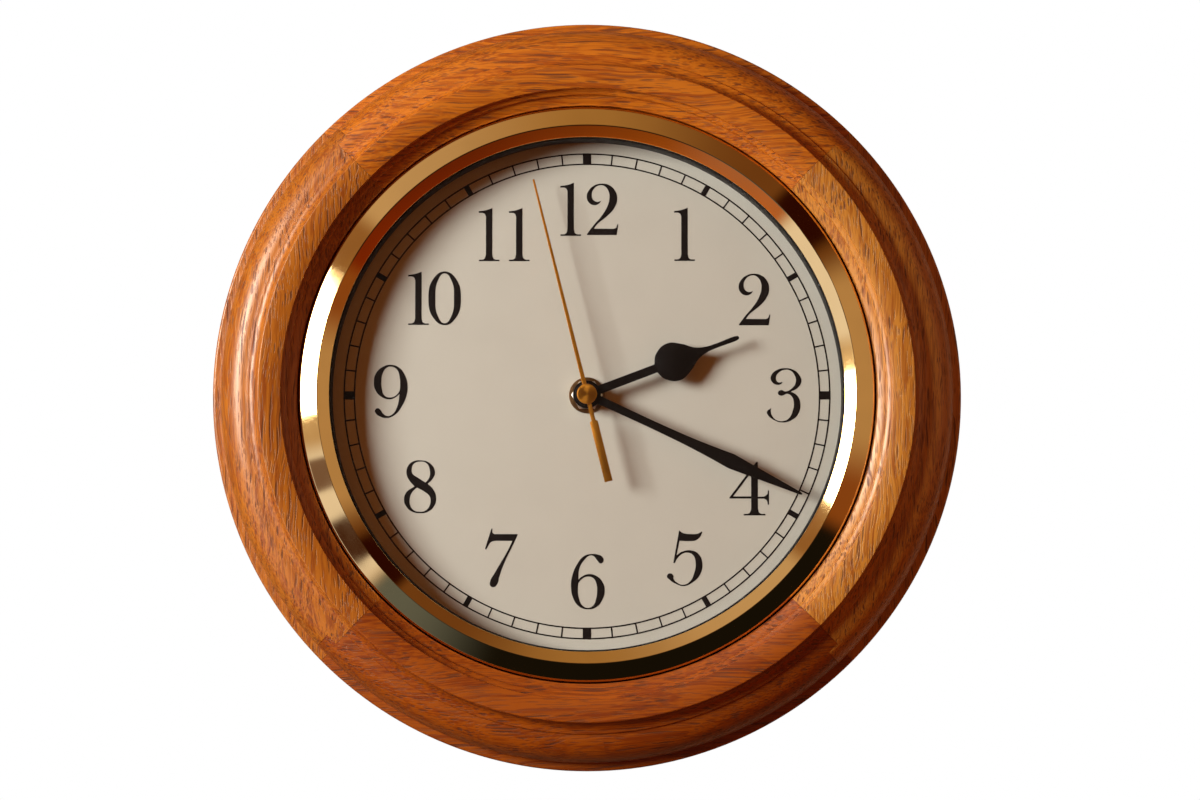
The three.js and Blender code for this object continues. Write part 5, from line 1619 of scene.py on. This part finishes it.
class WALLCLOCK_OT_screws(bpy.types.Operator):
    """Build the screws of the board and the hanger"""

    bl_idname = "wall_clock.screws"
    bl_label = "Screws"
    bl_options = {"REGISTER", "UNDO"}

    def execute(self, context):
        make_screws()
        return {"FINISHED"}


class WALLCLOCK_OT_hanger(bpy.types.Operator):
    """Build the keyhole hanger"""

    bl_idname = "wall_clock.hanger"
    bl_label = "Hanger"
    bl_options = {"REGISTER", "UNDO"}

    def execute(self, context):
        make_hanger()
        return {"FINISHED"}


class WALLCLOCK_OT_movement_case(bpy.types.Operator):
    """Build the movement's shell and cover"""

    bl_idname = "wall_clock.movement_case"
    bl_label = "Movement Case"
    bl_options = {"REGISTER", "UNDO"}

    def execute(self, context):
        make_movement_case()
        return {"FINISHED"}


class WALLCLOCK_OT_knob(bpy.types.Operator):
    """Build the setting knob"""

    bl_idname = "wall_clock.knob"
    bl_label = "Setting Knob"
    bl_options = {"REGISTER", "UNDO"}

    def execute(self, context):
        make_knob()
        return {"FINISHED"}


class WALLCLOCK_OT_contacts(bpy.types.Operator):
    """Build the two battery contacts"""

    bl_idname = "wall_clock.contacts"
    bl_label = "Contacts"
    bl_options = {"REGISTER", "UNDO"}

    def execute(self, context):
        make_contacts()
        return {"FINISHED"}


class WALLCLOCK_OT_works(bpy.types.Operator):
    """Finish the wheels, the motor and the circuit"""

    bl_idname = "wall_clock.works"
    bl_label = "Works"
    bl_options = {"REGISTER", "UNDO"}

    def execute(self, context):
        make_works()
        return {"FINISHED"}


class WALLCLOCK_OT_battery(bpy.types.Operator):
    """Build the cell"""

    bl_idname = "wall_clock.battery"
    bl_label = "Battery"
    bl_options = {"REGISTER", "UNDO"}

    def execute(self, context):
        make_battery()
        return {"FINISHED"}


class WALLCLOCK_OT_stage(bpy.types.Operator):
    """Set up the camera, the light, the room and the floor"""

    bl_idname = "wall_clock.stage"
    bl_label = "Stage"
    bl_options = {"REGISTER", "UNDO"}

    def execute(self, context):
        context.scene.view_settings.view_transform = "Standard"
        make_camera()
        make_world()
        make_window()
        make_room()
        make_floor()
        return {"FINISHED"}


OPERATORS = (
    WALLCLOCK_OT_oak_ring, WALLCLOCK_OT_bezel, WALLCLOCK_OT_glass, WALLCLOCK_OT_spacer, WALLCLOCK_OT_dial,
    WALLCLOCK_OT_hub, WALLCLOCK_OT_black_hands, WALLCLOCK_OT_second_hand, WALLCLOCK_OT_backing_board,
    WALLCLOCK_OT_screws, WALLCLOCK_OT_hanger, WALLCLOCK_OT_movement_case, WALLCLOCK_OT_knob,
    WALLCLOCK_OT_contacts, WALLCLOCK_OT_works, WALLCLOCK_OT_battery, WALLCLOCK_OT_stage,
)


class WALLCLOCK_PT_pieces(bpy.types.Panel):
    """Lists the clock's pieces and its stage"""

    bl_idname = "WALLCLOCK_PT_pieces"
    bl_label = "Wall Clock"
    bl_space_type = "VIEW_3D"
    bl_region_type = "UI"
    bl_category = "Wall Clock"

    def draw(self, context):
        for operator in OPERATORS:
            self.layout.operator(operator.bl_idname)


SETTINGS = (OakSettings, DialSettings, MetalSettings, StageSettings, WallClockSettings)
CLASSES = (*SETTINGS, *OPERATORS, WALLCLOCK_PT_pieces)


def register():
    for cls in CLASSES:
        bpy.utils.register_class(cls)
    bpy.types.Scene.wall_clock = bpy.props.PointerProperty(
        name="Wall Clock", description="Sizes, colours and light of the clock", type=WallClockSettings)


def unregister():
    del bpy.types.Scene.wall_clock
    for cls in reversed(CLASSES):
        bpy.utils.unregister_class(cls)


def main():
    register()
    bpy.ops.wall_clock.oak_ring()
    bpy.ops.wall_clock.bezel()
    bpy.ops.wall_clock.glass()
    bpy.ops.wall_clock.spacer()
    bpy.ops.wall_clock.dial()
    bpy.ops.wall_clock.hub()
    bpy.ops.wall_clock.black_hands()
    bpy.ops.wall_clock.second_hand()
    bpy.ops.wall_clock.backing_board()
    bpy.ops.wall_clock.screws()
    bpy.ops.wall_clock.hanger()
    bpy.ops.wall_clock.movement_case()
    bpy.ops.wall_clock.knob()
    bpy.ops.wall_clock.contacts()
    bpy.ops.wall_clock.works()
    bpy.ops.wall_clock.battery()
    bpy.ops.wall_clock.stage()


if __name__ == "__main__":
    main()
